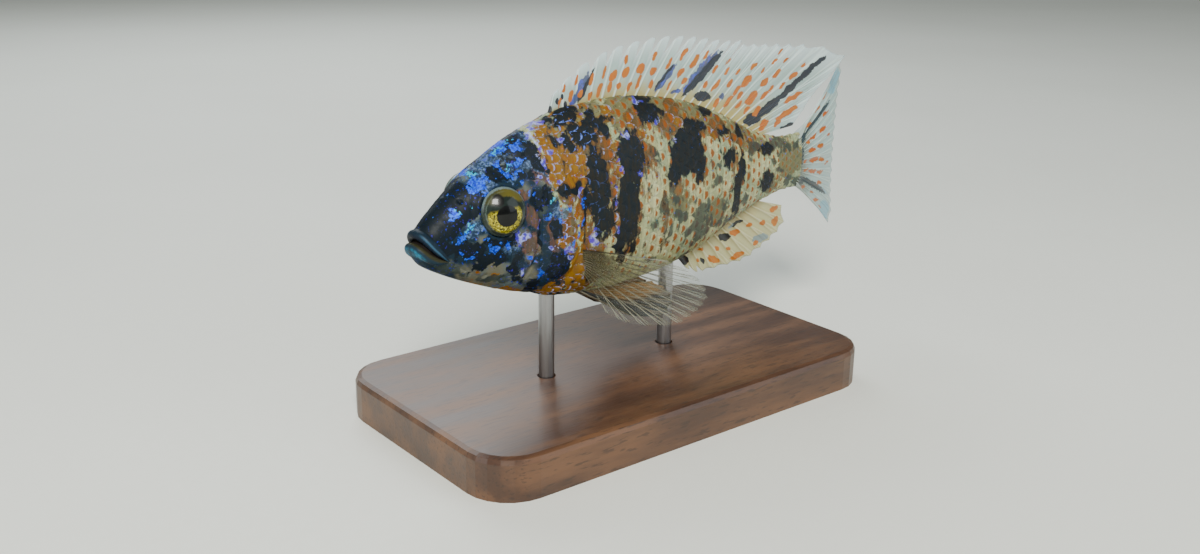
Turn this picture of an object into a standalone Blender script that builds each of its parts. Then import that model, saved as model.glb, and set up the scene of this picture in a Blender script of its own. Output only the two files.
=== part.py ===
"""A peacock cichlid as a still, life-size model on a plain display stand.

The fish is drawn along its spine, with distances counted back from the snout, and then bent along
that spine. Sizes are in millimetres and become metres where a mesh is made. The snout points to -X,
the left flank faces -Y, and the origin is under the middle of the stand.
"""

import math

import bmesh
import bpy
from mathutils import Matrix, Vector

MM = 0.001
GAP = 0.3  # clearance between neighbouring pieces

# Body outlines: distance behind the snout, then height over the spine line or half width
BACK_LINE = (
    (2.0, -0.2), (2.8, 1.2), (7.1, 5.1), (14.8, 10.6), (24.4, 15.3), (35.0, 18.6),
    (46.0, 19.3), (60.0, 17.7), (72.0, 14.0), (87.0, 7.4), (94.0, 6.1), (100.0, 6.2),
)
BELLY_LINE = (
    (2.0, -4.5), (2.9, -5.3), (5.3, -6.8), (12.5, -10.3), (22.5, -14.1), (33.0, -17.0),
    (44.0, -17.6), (56.0, -16.9), (68.0, -14.3), (80.0, -9.4), (88.0, -6.8), (94.0, -5.9), (100.0, -6.1),
)
HALF_WIDTH = (
    (2.0, 1.9), (2.8, 2.7), (5.0, 3.7), (9.0, 4.8), (16.4, 5.9), (24.0, 7.3),
    (34.0, 8.1), (42.0, 8.2), (54.0, 7.5), (66.0, 5.8), (80.0, 3.7), (92.0, 2.2), (100.0, 1.5),
)
WIDEST_AT = 0.47  # share of the depth, from the belly up
BACK_ROUNDNESS = 1.18  # over 1 is sharper than an ellipse
BELLY_ROUNDNESS = 0.92
BODY_COLUMNS = 44
MERGE = 0.01  # points nearer than this become one
SLIVER = 0.002  # an edge shorter than this goes
SMOOTH_UNDER = 40.0  # degrees between two faces that still shade as one

# The bend: the head turns one way, the tail the other
TURN_START = 36.0
HEAD_TURN = 0.12
TAIL_FROM = 80.0
TAIL_TO = 125.0
TAIL_TURN = 0.45
SPINE_STEP = 0.5

# Gill cover edge: angle round the body from the back, then distance behind the snout
GILL_EDGE = (
    (0.0, 28.3), (35.0, 28.6), (58.0, 30.0), (79.0, 32.8), (93.0, 33.7),
    (106.0, 33.5), (122.0, 32.2), (135.0, 30.3), (157.0, 26.6), (180.0, 24.0),
)
GILL_GAP = 0.5
GILL_TUCK = 0.3  # the flank starts this far inside the gill cover's rim
GILL_TUCK_LENGTH = 4.0
HEAD_ROWS = 24
TORSO_ROWS = 18
TAIL_ROWS = 5
TAIL_CUT = 87.0
TAIL_END = 99.5
NOSE_PUSH = 0.2

# Mouth: each point is its share of the way to the corner, then behind, out and up, and its radius
UPPER_LIP = (
    (0.0, 2.35, 0.0, 0.4, 0.8), (0.25, 2.55, 1.25, 0.1, 0.8), (0.45, 3.0, 2.25, -0.6, 0.78),
    (0.7, 3.9, 3.1, -1.85, 0.72), (0.9, 5.0, 3.45, -3.0, 0.6), (1.0, 5.9, 3.45, -3.9, 0.4),
)
LOWER_LIP = (
    (0.0, 1.55, 0.0, -1.8, 0.82), (0.25, 1.75, 1.1, -2.1, 0.82), (0.45, 2.25, 1.85, -2.8, 0.78),
    (0.7, 3.35, 2.55, -3.8, 0.68), (0.9, 4.8, 3.05, -4.5, 0.52), (1.0, 5.9, 3.3, -4.8, 0.35),
)
MOUTH_LINE = (
    (0.0, 1.9, 0.0, -0.7, 0.35), (0.25, 2.1, 1.2, -1.0, 0.35), (0.45, 2.65, 2.1, -1.7, 0.3),
    (0.7, 3.6, 2.9, -2.9, 0.25), (1.0, 6.4, 3.55, -4.5, 0.2),
)
LIP_STEPS = 9

# Eye: an oblate ball, looking out, a little forwards and up
EYE_MIDDLE = (16.7, 5.5, 3.0)
EYE_AXIS = (-0.26, 1.0, 0.15)
RIGHT_EYE_OUT = 0.6  # the right eye stands a little further out and up, past the forehead
RIGHT_EYE_UP = 0.6
EYE_RADIUS = 4.35
EYE_DEPTH = 2.6
EYE_SEGMENTS = 20
EYE_RINGS = 12
ORBIT_AT = (15.6, 5.6)  # the skin swells out over the eye
ORBIT_SWELL = 1.9
ORBIT_SPREAD = 4.2
RIGHT_ORBIT_UP = 0.8
RIGHT_ORBIT_SWELL = 2.2

NOSTRIL_AT = (7.4, 3.1, 6.2)
NOSTRIL_AXIS = (-0.45, 1.0, 0.75)
NOSTRIL_RADIUS = 0.45
NOSTRIL_DEPTH = 0.9
NOSTRIL_SIDES = 8

# Fin sheets: the membrane, and the rays that stand out of it on both faces
MEMBRANE = 0.5
RAY_ROOT = 1.0
RAY_END = 0.65
EDGE_THICKNESS = 0.34
EDGE_FROM = 0.85
RAY_FOOT = 0.24  # half the width of a ray, as a share of the way to the next one
LAPPET_RISE = 0.1  # the edge behind a spine, as a share of the spine's length
LAPPET_DROP = 0.55  # the edge in front of it
SOFT_EDGE_DROP = 0.14  # the edge between two soft rays
SLOPE_STEP = 0.02  # how far apart the points are that give a sheet's normal

# Fin rays: number of the ray, then where it starts and ends
DORSAL_RAYS = 26
DORSAL_ROWS = 6
DORSAL_SPINES = 15
DORSAL_ROOTS = ((0, 31.6), (5, 46.3), (10, 59.0), (15, 70.0), (25, 87.0))
DORSAL_TIPS_BACK = (
    (0, 32.6), (1, 34.8), (2, 38.2), (3, 42.8), (4, 46.6), (8, 61.8), (12, 74.6), (15, 83.5),
    (18, 94.0), (19.6, 101.5), (21, 113.0), (22, 108.5), (23, 103.0), (24, 99.6), (25, 96.3),
)
DORSAL_TIPS_UP = (
    (0, 20.9), (1, 22.6), (2, 24.8), (3, 26.6), (4, 27.7), (7, 28.8), (10, 27.8), (12, 26.8), (15, 26.2),
    (18, 25.4), (19.6, 24.6), (21, 21.2), (22, 17.6), (23, 14.2), (24, 10.9), (25, 7.9),
)
DORSAL_BEND = 0.25  # share of the tail's turn that this fin takes
ANAL_RAYS = 12
ANAL_SPINES = 3
ANAL_ROWS = 5
ANAL_ROOTS = ((0, 63.9), (3, 69.5), (11, 86.4))
ANAL_TIPS_BACK = ((0, 66.4), (2, 71.2), (5, 82.0), (7, 88.2), (9, 93.6), (10, 95.8), (11, 94.6))
ANAL_TIPS_DOWN = ((0, 18.1), (2, 19.7), (5, 19.6), (7, 17.7), (9, 15.2), (10, 13.3), (11, 9.4))
CAUDAL_RAYS = 16
CAUDAL_ROWS = 7
CAUDAL_ROOT_HEIGHT = 5.4
CAUDAL_TIP_HEIGHT = 18.8
CAUDAL_LENGTH = ((0.0, 119.4), (0.6, 120.2), (0.9, 121.6), (1.0, 119.5))
CAUDAL_ROOT_THICKNESS = 2.2
CAUDAL_STALK = 0.16
PAIRED_ROWS = 6
PECTORAL_RAYS = 13
PECTORAL_ROOT_TOP = (34.9, -7.0)
PECTORAL_ROOT_LOW = (35.6, -12.0)
PECTORAL_OUT = ((0, 14.0), (4, 15.0), (8, 12.0), (10, 8.0), (12, 0.0))
PECTORAL_DOWN = ((0, 13.0), (4, 23.0), (8, 34.0), (10, 44.0), (12, 60.0))
PECTORAL_LENGTH = ((0, 17.0), (2, 25.0), (4, 28.0), (8, 25.5), (10, 19.5), (12, 10.0))
FAR_PECTORAL_FOLD = -6.0
FAR_PECTORAL_LIFT = 0.6
PELVIC_RAYS = 6
PELVIC_ROOTS = ((0, 36.8), (5, 40.6))
PELVIC_ROOT_ANGLE = ((0, 163.0), (5, 170.0))
PELVIC_OUT = ((0, 14.0), (1, 7.0), (5, 1.0))
PELVIC_DOWN = ((0, 31.0), (1, 21.5), (5, 4.0))
PELVIC_LENGTH = ((0, 12.0), (1, 21.5), (2, 22.0), (3, 21.0), (5, 15.0))

# Display stand
SPINE_HEIGHT = 41.0
SPINE_OFFSET = -12.0  # where TURN_START sits along X
BASE_LENGTH = 94.0
BASE_WIDTH = 54.0
BASE_HEIGHT = 8.0
BASE_CORNER = 9.0
BASE_CORNER_STEPS = 6
BASE_EDGE = 1.2
BASE_EDGE_STEPS = 2
BEVEL = {"profile": 0.5, "affect": "EDGES", "material": -1}
ROD_RADIUS = 1.5
ROD_IN_BODY = 3.0
ROD_IN_BASE = 4.0
ROD_SIDES = 20
FRONT_ROD_AT = 31.0
REAR_ROD_AT = 61.0


def along(table, x):
    """Smooth value at x of a curve through a few points, with no overshoot between them."""
    if x <= table[0][0]:
        return table[0][1]
    if x >= table[-1][0]:
        return table[-1][1]
    slopes = [(b[1] - a[1]) / (b[0] - a[0]) for a, b in zip(table, table[1:])]
    i = max(k for k in range(len(slopes)) if table[k][0] <= x)

    def tangent(k):
        before = slopes[max(k - 1, 0)]
        after = slopes[min(k, len(slopes) - 1)]
        if before * after <= 0.0:
            return 0.0
        return 2.0 * before * after / (before + after)

    (x0, y0), (x1, y1) = table[i], table[i + 1]
    width = x1 - x0
    t = (x - x0) / width
    rise = y1 - y0
    bend_in = tangent(i) * width - rise
    bend_out = rise - tangent(i + 1) * width
    return y0 + rise * t + t * (1.0 - t) * (bend_in * (1.0 - t) + bend_out * t)


def heading(s, tail_share):
    """Direction of the spine at s, in radians from +X."""
    if s < TURN_START:
        return HEAD_TURN * (TURN_START - s) / TURN_START
    t = min(max((s - TAIL_FROM) / (TAIL_TO - TAIL_FROM), 0.0), 1.0)
    return TAIL_TURN * tail_share * t * t * (3.0 - 2.0 * t)


def spine_point(s, tail_share):
    """The spine's place at s, stepped along it from the point that the bend leaves in place."""
    steps = max(1, math.ceil(abs(s - TURN_START) / SPINE_STEP))
    step = (s - TURN_START) / steps
    place = Vector((0.0, 0.0))
    for k in range(steps):
        angle = heading(TURN_START + (k + 0.5) * step, tail_share)
        place += step * Vector((math.cos(angle), math.sin(angle)))
    return place


def bent(point, tail_share=1.0):
    """Takes a point from the straight fish to its place in the model, in metres."""
    s, y, z = point
    place = spine_point(s, tail_share)
    angle = heading(s, tail_share)
    return MM * Vector((
        place.x - y * math.sin(angle) + SPINE_OFFSET,
        place.y + y * math.cos(angle),
        z + SPINE_HEIGHT,
    ))


def bent_direction(s, direction):
    return Matrix.Rotation(heading(s, 1.0), 3, "Z") @ Vector(direction).normalized()


def body_point(s, angle, inset=0.0):
    """A point on the straight body, angle degrees round from the back, negative to the left."""
    top = along(BACK_LINE, s) - inset
    low = along(BELLY_LINE, s) + inset
    middle = low + (top - low) * WIDEST_AT
    turn = math.radians(abs(angle))
    up = math.cos(turn)
    reach = top - middle if up > 0.0 else middle - low
    roundness = BACK_ROUNDNESS if up > 0.0 else BELLY_ROUNDNESS
    z = middle + reach * up
    out = (along(HALF_WIDTH, s) - inset) * abs(math.sin(turn)) ** roundness
    lifted, swell = (RIGHT_ORBIT_UP, RIGHT_ORBIT_SWELL) if angle > 0.0 else (0.0, ORBIT_SWELL)
    away = math.hypot(s - ORBIT_AT[0], z - ORBIT_AT[1] - lifted) / ORBIT_SPREAD
    out += swell * abs(math.sin(turn)) * math.exp(-away * away)
    return Vector((s, math.copysign(out, angle), z))


def eye_place(side):
    """Middle and axis of an eye, side -1 for the left and 1 for the right."""
    out, up = (RIGHT_EYE_OUT, RIGHT_EYE_UP) if side > 0.0 else (0.0, 0.0)
    middle = Vector((EYE_MIDDLE[0], side * (EYE_MIDDLE[1] + out), EYE_MIDDLE[2] + up))
    return middle, Vector((EYE_AXIS[0], side * EYE_AXIS[1], EYE_AXIS[2]))


def body_side(s, z, inset=0.0):
    """The left flank's point at a height."""
    low, high = 0.0, 180.0
    for _ in range(24):
        middle = 0.5 * (low + high)
        if body_point(s, -middle, inset).z > z:
            low = middle
        else:
            high = middle
    return body_point(s, -low, inset)


def link(name, mesh):
    obj = bpy.data.objects.new(name, mesh)
    bpy.context.scene.collection.objects.link(obj)
    return obj


def mesh_from(bm, name):
    mesh = bpy.data.meshes.new(name)
    bm.to_mesh(mesh)
    bm.free()
    return mesh


def loft(name, rows, start, end, inset, nose_push=0.0):
    """A closed length of the body between two edges, each a distance given by the angle."""
    bm = bmesh.new()
    bmesh.ops.create_grid(bm, x_segments=BODY_COLUMNS, y_segments=rows, size=0.5)
    for vert in bm.verts:
        angle = 360.0 * vert.co.x
        share = vert.co.y + 0.5
        first = start(abs(angle))
        s = first + (end(abs(angle)) - first) * share
        vert.co = bent(body_point(s, angle, inset(s, abs(angle))))
    bmesh.ops.remove_doubles(bm, verts=bm.verts, dist=MERGE * MM)
    rims = [edge for edge in bm.edges if edge.is_boundary]
    caps = bmesh.ops.holes_fill(bm, edges=rims)["faces"]
    hubs = bmesh.ops.poke(bm, faces=caps)["verts"]
    min(hubs, key=lambda vert: vert.co.x).co.x -= nose_push * MM
    bmesh.ops.recalc_face_normals(bm, faces=bm.faces)
    return link(name, mesh_from(bm, name))


def sweep(table, radius_share=1.0):
    """A tube round the snout from one corner of the mouth to the other, as a closed mesh."""
    curve = bpy.data.curves.new("sweep", "CURVE")
    curve.dimensions = "3D"
    curve.bevel_depth = MM
    curve.bevel_resolution = 2
    curve.use_fill_caps = True
    spline = curve.splines.new("POLY")
    spline.points.add(2 * LIP_STEPS)
    columns = [tuple((row[0], row[k]) for row in table) for k in range(1, 5)]
    for k, point in enumerate(spline.points):
        share = k / LIP_STEPS - 1.0
        behind, out, up, radius = (along(column, abs(share)) for column in columns)
        point.co = (*bent((behind, math.copysign(out, share), up)), 1.0)
        point.radius = radius * radius_share
    holder = link("sweep", curve)
    bpy.context.view_layer.update()
    mesh = bpy.data.meshes.new_from_object(holder.evaluated_get(bpy.context.evaluated_depsgraph_get()))
    bpy.data.objects.remove(holder)
    return link("sweep", mesh)


def ball(radius, depth, middle, axis):
    """An oblate ball, its short way along an axis of the straight fish."""
    bm = bmesh.new()
    bmesh.ops.create_uvsphere(bm, u_segments=EYE_SEGMENTS, v_segments=EYE_RINGS, radius=MM)
    turn = bent_direction(middle[0], axis).to_track_quat("Z", "Y").to_matrix().to_4x4()
    place = Matrix.Translation(bent(middle))
    flattened = Matrix.Diagonal((radius, radius, depth, 1.0))
    bmesh.ops.transform(bm, matrix=place @ turn @ flattened, verts=bm.verts)
    return link("ball", mesh_from(bm, "ball"))


def rod(radius, low, high, sides=ROD_SIDES):
    """A round bar between two points in metres."""
    bm = bmesh.new()
    wide = radius * MM
    length = (high - low).length
    bmesh.ops.create_cone(bm, cap_ends=True, segments=sides, radius1=wide, radius2=wide, depth=length)
    turn = (high - low).to_track_quat("Z", "Y").to_matrix().to_4x4()
    bmesh.ops.transform(bm, matrix=Matrix.Translation((low + high) / 2.0) @ turn, verts=bm.verts)
    return link("rod", mesh_from(bm, "rod"))


def combine(target, tools, operation):
    """Joins or cuts with a group of closed meshes, and removes them."""
    group = bpy.data.collections.new("tools")
    for tool in tools:
        group.objects.link(tool)
    modifier = target.modifiers.new("combine", "BOOLEAN")
    modifier.operation = operation
    modifier.operand_type = "COLLECTION"
    modifier.collection = group
    bpy.context.view_layer.update()
    mesh = bpy.data.meshes.new_from_object(target.evaluated_get(bpy.context.evaluated_depsgraph_get()))
    target.modifiers.remove(modifier)
    target.data = mesh
    for tool in tools:
        bpy.data.objects.remove(tool)
    bpy.data.collections.remove(group)
    keep_largest(target)


def keep_largest(obj):
    """Drops every loose scrap that a cut leaves."""
    bm = bmesh.new()
    bm.from_mesh(obj.data)
    left = set(bm.verts)
    bodies = []
    while left:
        reached = [left.pop()]
        for vert in reached:
            for edge in vert.link_edges:
                other = edge.other_vert(vert)
                if other in left:
                    left.discard(other)
                    reached.append(other)
        bodies.append(reached)
    bodies.sort(key=len)
    for scrap in bodies[:-1]:
        bmesh.ops.delete(bm, geom=scrap, context="VERTS")
    bmesh.ops.dissolve_degenerate(bm, dist=SLIVER * MM, edges=bm.edges)
    bmesh.ops.triangulate(bm, faces=bm.faces)
    bm.to_mesh(obj.data)
    bm.free()


def fin(name, rays, rows, place, root_thickness=RAY_ROOT, root_share=0.0):
    """A thin closed sheet with a ridge for each ray. place(q, v) is the point v of the way out at ray q."""
    stations = []
    for ray in range(rays):
        stations.append((ray - RAY_FOOT, False))
        stations.append((ray, True))
        stations.append((ray + RAY_FOOT, False))
    stations = stations[1:-1]

    def thickness(is_ray, v):
        edge = max(0.0, (v - EDGE_FROM) / (1.0 - EDGE_FROM))
        full = RAY_ROOT + (RAY_END - RAY_ROOT) * v if is_ray else MEMBRANE
        if v < root_share:
            full += (root_thickness - full) * (1.0 - v / root_share) ** 2
        return full + (EDGE_THICKNESS - full) * edge

    bm = bmesh.new()
    bmesh.ops.create_grid(bm, x_segments=len(stations) - 1, y_segments=rows, size=0.5)
    bmesh.ops.triangulate(bm, faces=bm.faces)
    bmesh.ops.extrude_face_region(bm, geom=bm.faces[:], use_keep_orig=True)
    seen = set()
    for vert in bm.verts:
        column = round((vert.co.x + 0.5) * (len(stations) - 1))
        row = round((vert.co.y + 0.5) * rows)
        side = -1.0 if (column, row) in seen else 1.0
        seen.add((column, row))
        q, is_ray = stations[column]
        v = row / rows
        here = place(q, v)
        outward = place(q, v + SLOPE_STEP) - place(q, v - SLOPE_STEP)
        across = place(q + SLOPE_STEP, v) - place(q - SLOPE_STEP, v)
        normal = outward.cross(across).normalized()
        vert.co = here + normal * side * 0.5 * thickness(is_ray, v) * MM
    bmesh.ops.recalc_face_normals(bm, faces=bm.faces)
    bmesh.ops.triangulate(bm, faces=bm.faces)
    return link(name, mesh_from(bm, name))


def lappets(q, spines):
    """How far out the edge lies at ray q: a lobe behind each spine, a fine saw behind each soft ray."""
    ray = round(q)
    beside = q - ray
    if ray < spines:
        return 1.0 + (LAPPET_RISE if beside >= 0.0 else LAPPET_DROP) * beside
    return 1.0 - SOFT_EDGE_DROP * abs(beside)


def dorsal_place(q, v):
    root_s = along(DORSAL_ROOTS, q)
    root = Vector((root_s, 0.0, along(BACK_LINE, root_s) + GAP))
    tip = Vector((along(DORSAL_TIPS_BACK, q), 0.0, along(DORSAL_TIPS_UP, q)))
    point = root.lerp(tip, v * lappets(q, DORSAL_SPINES))
    return bent(point, DORSAL_BEND)


def anal_place(q, v):
    root_s = along(ANAL_ROOTS, q)
    root = Vector((root_s, 0.0, along(BELLY_LINE, root_s) - GAP))
    tip = Vector((along(ANAL_TIPS_BACK, q), 0.0, -along(ANAL_TIPS_DOWN, q)))
    return bent(root.lerp(tip, v * lappets(q, ANAL_SPINES)))


def caudal_place(q, v):
    height = 2.0 * q / (CAUDAL_RAYS - 1) - 1.0
    root = Vector((TAIL_END + GAP, 0.0, CAUDAL_ROOT_HEIGHT * height))
    tip = Vector((along(CAUDAL_LENGTH, abs(height)), 0.0, CAUDAL_TIP_HEIGHT * height))
    return bent(root.lerp(tip, v * lappets(q, 0)))


def ray_direction(out, down):
    out, down = math.radians(out), math.radians(down)
    return Vector((math.cos(out) * math.cos(down), -math.sin(out) * math.cos(down), -math.sin(down)))


def mirrored(point, side):
    return Vector((point.x, point.y * -side, point.z))


def pectoral_place(side, q, v):
    share = q / (PECTORAL_RAYS - 1)
    root_s = PECTORAL_ROOT_TOP[0] + (PECTORAL_ROOT_LOW[0] - PECTORAL_ROOT_TOP[0]) * share
    root_z = PECTORAL_ROOT_TOP[1] + (PECTORAL_ROOT_LOW[1] - PECTORAL_ROOT_TOP[1]) * share
    root = body_side(root_s, root_z, -(GAP + 0.5 * RAY_ROOT))
    fold, lift = (FAR_PECTORAL_FOLD, FAR_PECTORAL_LIFT) if side > 0 else (0.0, 1.0)
    direction = ray_direction(along(PECTORAL_OUT, q) + fold, along(PECTORAL_DOWN, q) * lift)
    point = root + direction * along(PECTORAL_LENGTH, q) * v * lappets(q, 0)
    return bent(mirrored(point, side))


def pelvic_place(side, q, v):
    root = body_point(along(PELVIC_ROOTS, q), -along(PELVIC_ROOT_ANGLE, q), -(GAP + 0.5 * RAY_ROOT))
    direction = ray_direction(along(PELVIC_OUT, q), along(PELVIC_DOWN, q))
    point = root + direction * along(PELVIC_LENGTH, q) * v * lappets(q, 0)
    return bent(mirrored(point, side))


def gill_edge(angle):
    return along(GILL_EDGE, angle)


def tucked(s, angle):
    """Inset of the flank just behind the gill cover, none along the nape."""
    behind = (s - gill_edge(angle)) / GILL_TUCK_LENGTH
    return GILL_TUCK * math.sin(math.radians(angle)) ** 2 * max(0.0, 1.0 - behind)


def make_head():
    head = loft("head", HEAD_ROWS, lambda angle: BACK_LINE[0][0], gill_edge, lambda s, angle: 0.0, NOSE_PUSH)
    combine(head, [sweep(UPPER_LIP), sweep(LOWER_LIP)], "UNION")
    cutters = [sweep(MOUTH_LINE)]
    for side in (-1.0, 1.0):
        middle, axis = eye_place(side)
        cutters.append(ball(EYE_RADIUS + GAP, EYE_DEPTH + GAP, middle, axis))
        at = Vector((NOSTRIL_AT[0], side * NOSTRIL_AT[1], NOSTRIL_AT[2]))
        into = bent_direction(at.x, (NOSTRIL_AXIS[0], side * NOSTRIL_AXIS[1], NOSTRIL_AXIS[2]))
        reach = NOSTRIL_DEPTH * MM * into
        cutters.append(rod(NOSTRIL_RADIUS, bent(at) - reach, bent(at) + reach, NOSTRIL_SIDES))
    combine(head, cutters, "DIFFERENCE")
    return head


def make_torso():
    torso = loft(
        "torso", TORSO_ROWS, lambda angle: gill_edge(angle) + GILL_GAP, lambda angle: TAIL_CUT, tucked
    )
    sockets = [rod(ROD_RADIUS + GAP, *rod_ends(at, -GAP)) for at in (FRONT_ROD_AT, REAR_ROD_AT)]
    combine(torso, sockets, "DIFFERENCE")
    return torso


def make_tail():
    return loft(
        "tail", TAIL_ROWS, lambda angle: TAIL_CUT + GAP, lambda angle: TAIL_END, lambda s, angle: 0.0
    )


def make_eyes():
    eyes = []
    for side, name in ((-1.0, "eye_left"), (1.0, "eye_right")):
        middle, axis = eye_place(side)
        eye = ball(EYE_RADIUS, EYE_DEPTH, middle, axis)
        eye.name = name
        eyes.append(eye)
    return eyes


def make_fins():
    fins = [
        fin("dorsal_fin", DORSAL_RAYS, DORSAL_ROWS, dorsal_place),
        fin("anal_fin", ANAL_RAYS, ANAL_ROWS, anal_place),
        fin("caudal_fin", CAUDAL_RAYS, CAUDAL_ROWS, caudal_place, CAUDAL_ROOT_THICKNESS, CAUDAL_STALK),
    ]
    for side, name in ((-1.0, "left"), (1.0, "right")):
        fins.append(
            fin("pectoral_fin_" + name, PECTORAL_RAYS, PAIRED_ROWS, lambda q, v: pectoral_place(side, q, v))
        )
        fins.append(
            fin("pelvic_fin_" + name, PELVIC_RAYS, PAIRED_ROWS, lambda q, v: pelvic_place(side, q, v))
        )
    return fins


def rod_ends(at, spare=0.0):
    """The low and high end of the stand's rod under a place on the spine."""
    top = bent((at, 0.0, along(BELLY_LINE, at) + ROD_IN_BODY - spare))
    low = Vector((top.x, top.y, (BASE_HEIGHT - ROD_IN_BASE + spare) * MM))
    return low, top


def make_stand():
    bm = bmesh.new()
    bmesh.ops.create_cube(bm, size=MM)
    bmesh.ops.scale(bm, vec=(BASE_LENGTH, BASE_WIDTH, BASE_HEIGHT), verts=bm.verts)
    bmesh.ops.translate(bm, vec=(0.0, 0.0, 0.5 * BASE_HEIGHT * MM), verts=bm.verts)
    upright = [edge for edge in bm.edges if abs(edge.verts[0].co.z - edge.verts[1].co.z) > MM]
    bmesh.ops.bevel(bm, geom=upright, offset=BASE_CORNER * MM, **BEVEL, segments=BASE_CORNER_STEPS)
    rim = [edge for edge in bm.edges if min(vert.co.z for vert in edge.verts) > 0.9 * BASE_HEIGHT * MM]
    bmesh.ops.bevel(bm, geom=rim, offset=BASE_EDGE * MM, **BEVEL, segments=BASE_EDGE_STEPS)
    base = link("stand_base", mesh_from(bm, "stand_base"))
    places = (("stand_rod_front", FRONT_ROD_AT), ("stand_rod_rear", REAR_ROD_AT))
    combine(base, [rod(ROD_RADIUS + GAP, *rod_ends(at, -GAP)) for _, at in places], "DIFFERENCE")
    rods = []
    for name, at in places:
        bar = rod(ROD_RADIUS, *rod_ends(at))
        bar.name = name
        rods.append(bar)
    return base, rods


def material(name, colour, roughness, metallic=0.0):
    made = bpy.data.materials.new(name)
    made.use_nodes = True
    shader = made.node_tree.nodes["Principled BSDF"]
    shader.inputs["Base Color"].default_value = (*colour, 1.0)
    shader.inputs["Roughness"].default_value = roughness
    shader.inputs["Metallic"].default_value = metallic
    return made


def finish(obj, colour, roughness, metallic=0.0):
    obj.data.materials.clear()
    obj.data.materials.append(material(obj.name, colour, roughness, metallic))
    obj.data.shade_smooth()
    obj.data.set_sharp_from_angle(angle=math.radians(SMOOTH_UNDER))


def main():
    for obj in list(bpy.data.objects):
        bpy.data.objects.remove(obj)
    finish(make_head(), (0.03, 0.05, 0.16), 0.35)
    finish(make_torso(), (0.55, 0.47, 0.3), 0.4)
    finish(make_tail(), (0.5, 0.5, 0.42), 0.4)
    for eye in make_eyes():
        finish(eye, (0.25, 0.2, 0.03), 0.1)
    for sheet in make_fins():
        finish(sheet, (0.6, 0.66, 0.62), 0.3)
    base, rods = make_stand()
    finish(base, (0.2, 0.1, 0.05), 0.45)
    for bar in rods:
        finish(bar, (0.6, 0.6, 0.6), 0.25, 1.0)


main()
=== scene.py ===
import math

import bmesh
import bpy
import numpy as np
from mathutils import Matrix, Vector


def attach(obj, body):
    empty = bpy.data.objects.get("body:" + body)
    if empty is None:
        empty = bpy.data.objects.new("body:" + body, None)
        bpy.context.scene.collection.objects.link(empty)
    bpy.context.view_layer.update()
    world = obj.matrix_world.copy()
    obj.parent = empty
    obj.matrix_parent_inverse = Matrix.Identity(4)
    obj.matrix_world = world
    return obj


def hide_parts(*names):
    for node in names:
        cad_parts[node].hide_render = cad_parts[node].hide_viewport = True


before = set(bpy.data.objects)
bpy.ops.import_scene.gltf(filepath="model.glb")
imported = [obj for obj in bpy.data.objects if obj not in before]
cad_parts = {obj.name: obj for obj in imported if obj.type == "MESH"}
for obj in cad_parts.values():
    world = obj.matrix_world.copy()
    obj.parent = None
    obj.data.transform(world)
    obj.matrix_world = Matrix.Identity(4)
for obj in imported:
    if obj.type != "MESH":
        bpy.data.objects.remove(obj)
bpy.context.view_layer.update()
print("model loaded:", len(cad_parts), "nodes")

# Lengths are millimetres along the straight fish: behind the snout, to its right, up from the spine.
mm = 0.001

body = {
    "back": (
        (2.0, -0.2), (2.8, 1.2), (7.1, 5.1), (14.8, 10.6), (24.4, 15.3), (35.0, 18.6),
        (46.0, 19.3), (60.0, 17.7), (72.0, 14.0), (87.0, 7.4), (94.0, 6.1), (100.0, 6.2),
    ),
    "belly": (
        (2.0, -4.5), (2.9, -5.3), (5.3, -6.8), (12.5, -10.3), (22.5, -14.1), (33.0, -17.0),
        (44.0, -17.6), (56.0, -16.9), (68.0, -14.3), (80.0, -9.4), (88.0, -6.8), (94.0, -5.9), (100.0, -6.1),
    ),
    "halfWidth": (
        (2.0, 1.9), (2.8, 2.7), (5.0, 3.7), (9.0, 4.8), (16.4, 5.9), (24.0, 7.3),
        (34.0, 8.1), (42.0, 8.2), (54.0, 7.5), (66.0, 5.8), (80.0, 3.7), (92.0, 2.2), (100.0, 1.5),
    ),
    "widestAt": 0.47,
    "backRoundness": 1.18,
    "bellyRoundness": 0.92,
    "orbitAt": (15.6, 5.6),
    "orbitSwell": 1.9,
    "orbitSpread": 4.2,
    "rightOrbitUp": 0.8,
    "rightOrbitSwell": 2.2,
    "turnStart": 36.0,
    "headTurn": 0.12,
    "tailFrom": 80.0,
    "tailTo": 125.0,
    "tailTurn": 0.45,
    "spineHeight": 41.0,
    "spineOffset": -12.0,
    "tailEnd": 99.5,
}


def curve(table, x):  # smooth through a few points, with no overshoot
    xs, ys = np.array(table, float).T
    x = np.clip(np.asarray(x, float), xs[0], xs[-1])
    slope = np.diff(ys) / np.diff(xs)
    before = np.concatenate((slope[:1], slope))
    after = np.concatenate((slope, slope[-1:]))
    same = before * after > 0.0
    tangent = np.where(same, 2.0 * before * after / np.where(same, before + after, 1.0), 0.0)
    i = np.clip(np.searchsorted(xs, x, side="right") - 1, 0, len(slope) - 1)
    width = xs[i + 1] - xs[i]
    rise = ys[i + 1] - ys[i]
    t = (x - xs[i]) / width
    bendIn = tangent[i] * width - rise
    bendOut = rise - tangent[i + 1] * width
    return ys[i] + rise * t + t * (1.0 - t) * (bendIn * (1.0 - t) + bendOut * t)


def ease(low, high, x):  # 0 below low, 1 above high, smooth between
    t = np.clip((np.asarray(x, float) - low) / (high - low), 0.0, 1.0)
    return t * t * (3.0 - 2.0 * t)


def heading(s, tailShare):
    ahead = body["headTurn"] * np.maximum(body["turnStart"] - s, 0.0) / body["turnStart"]
    return ahead + body["tailTurn"] * tailShare * ease(body["tailFrom"], body["tailTo"], s)


spineLines = {}


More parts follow.
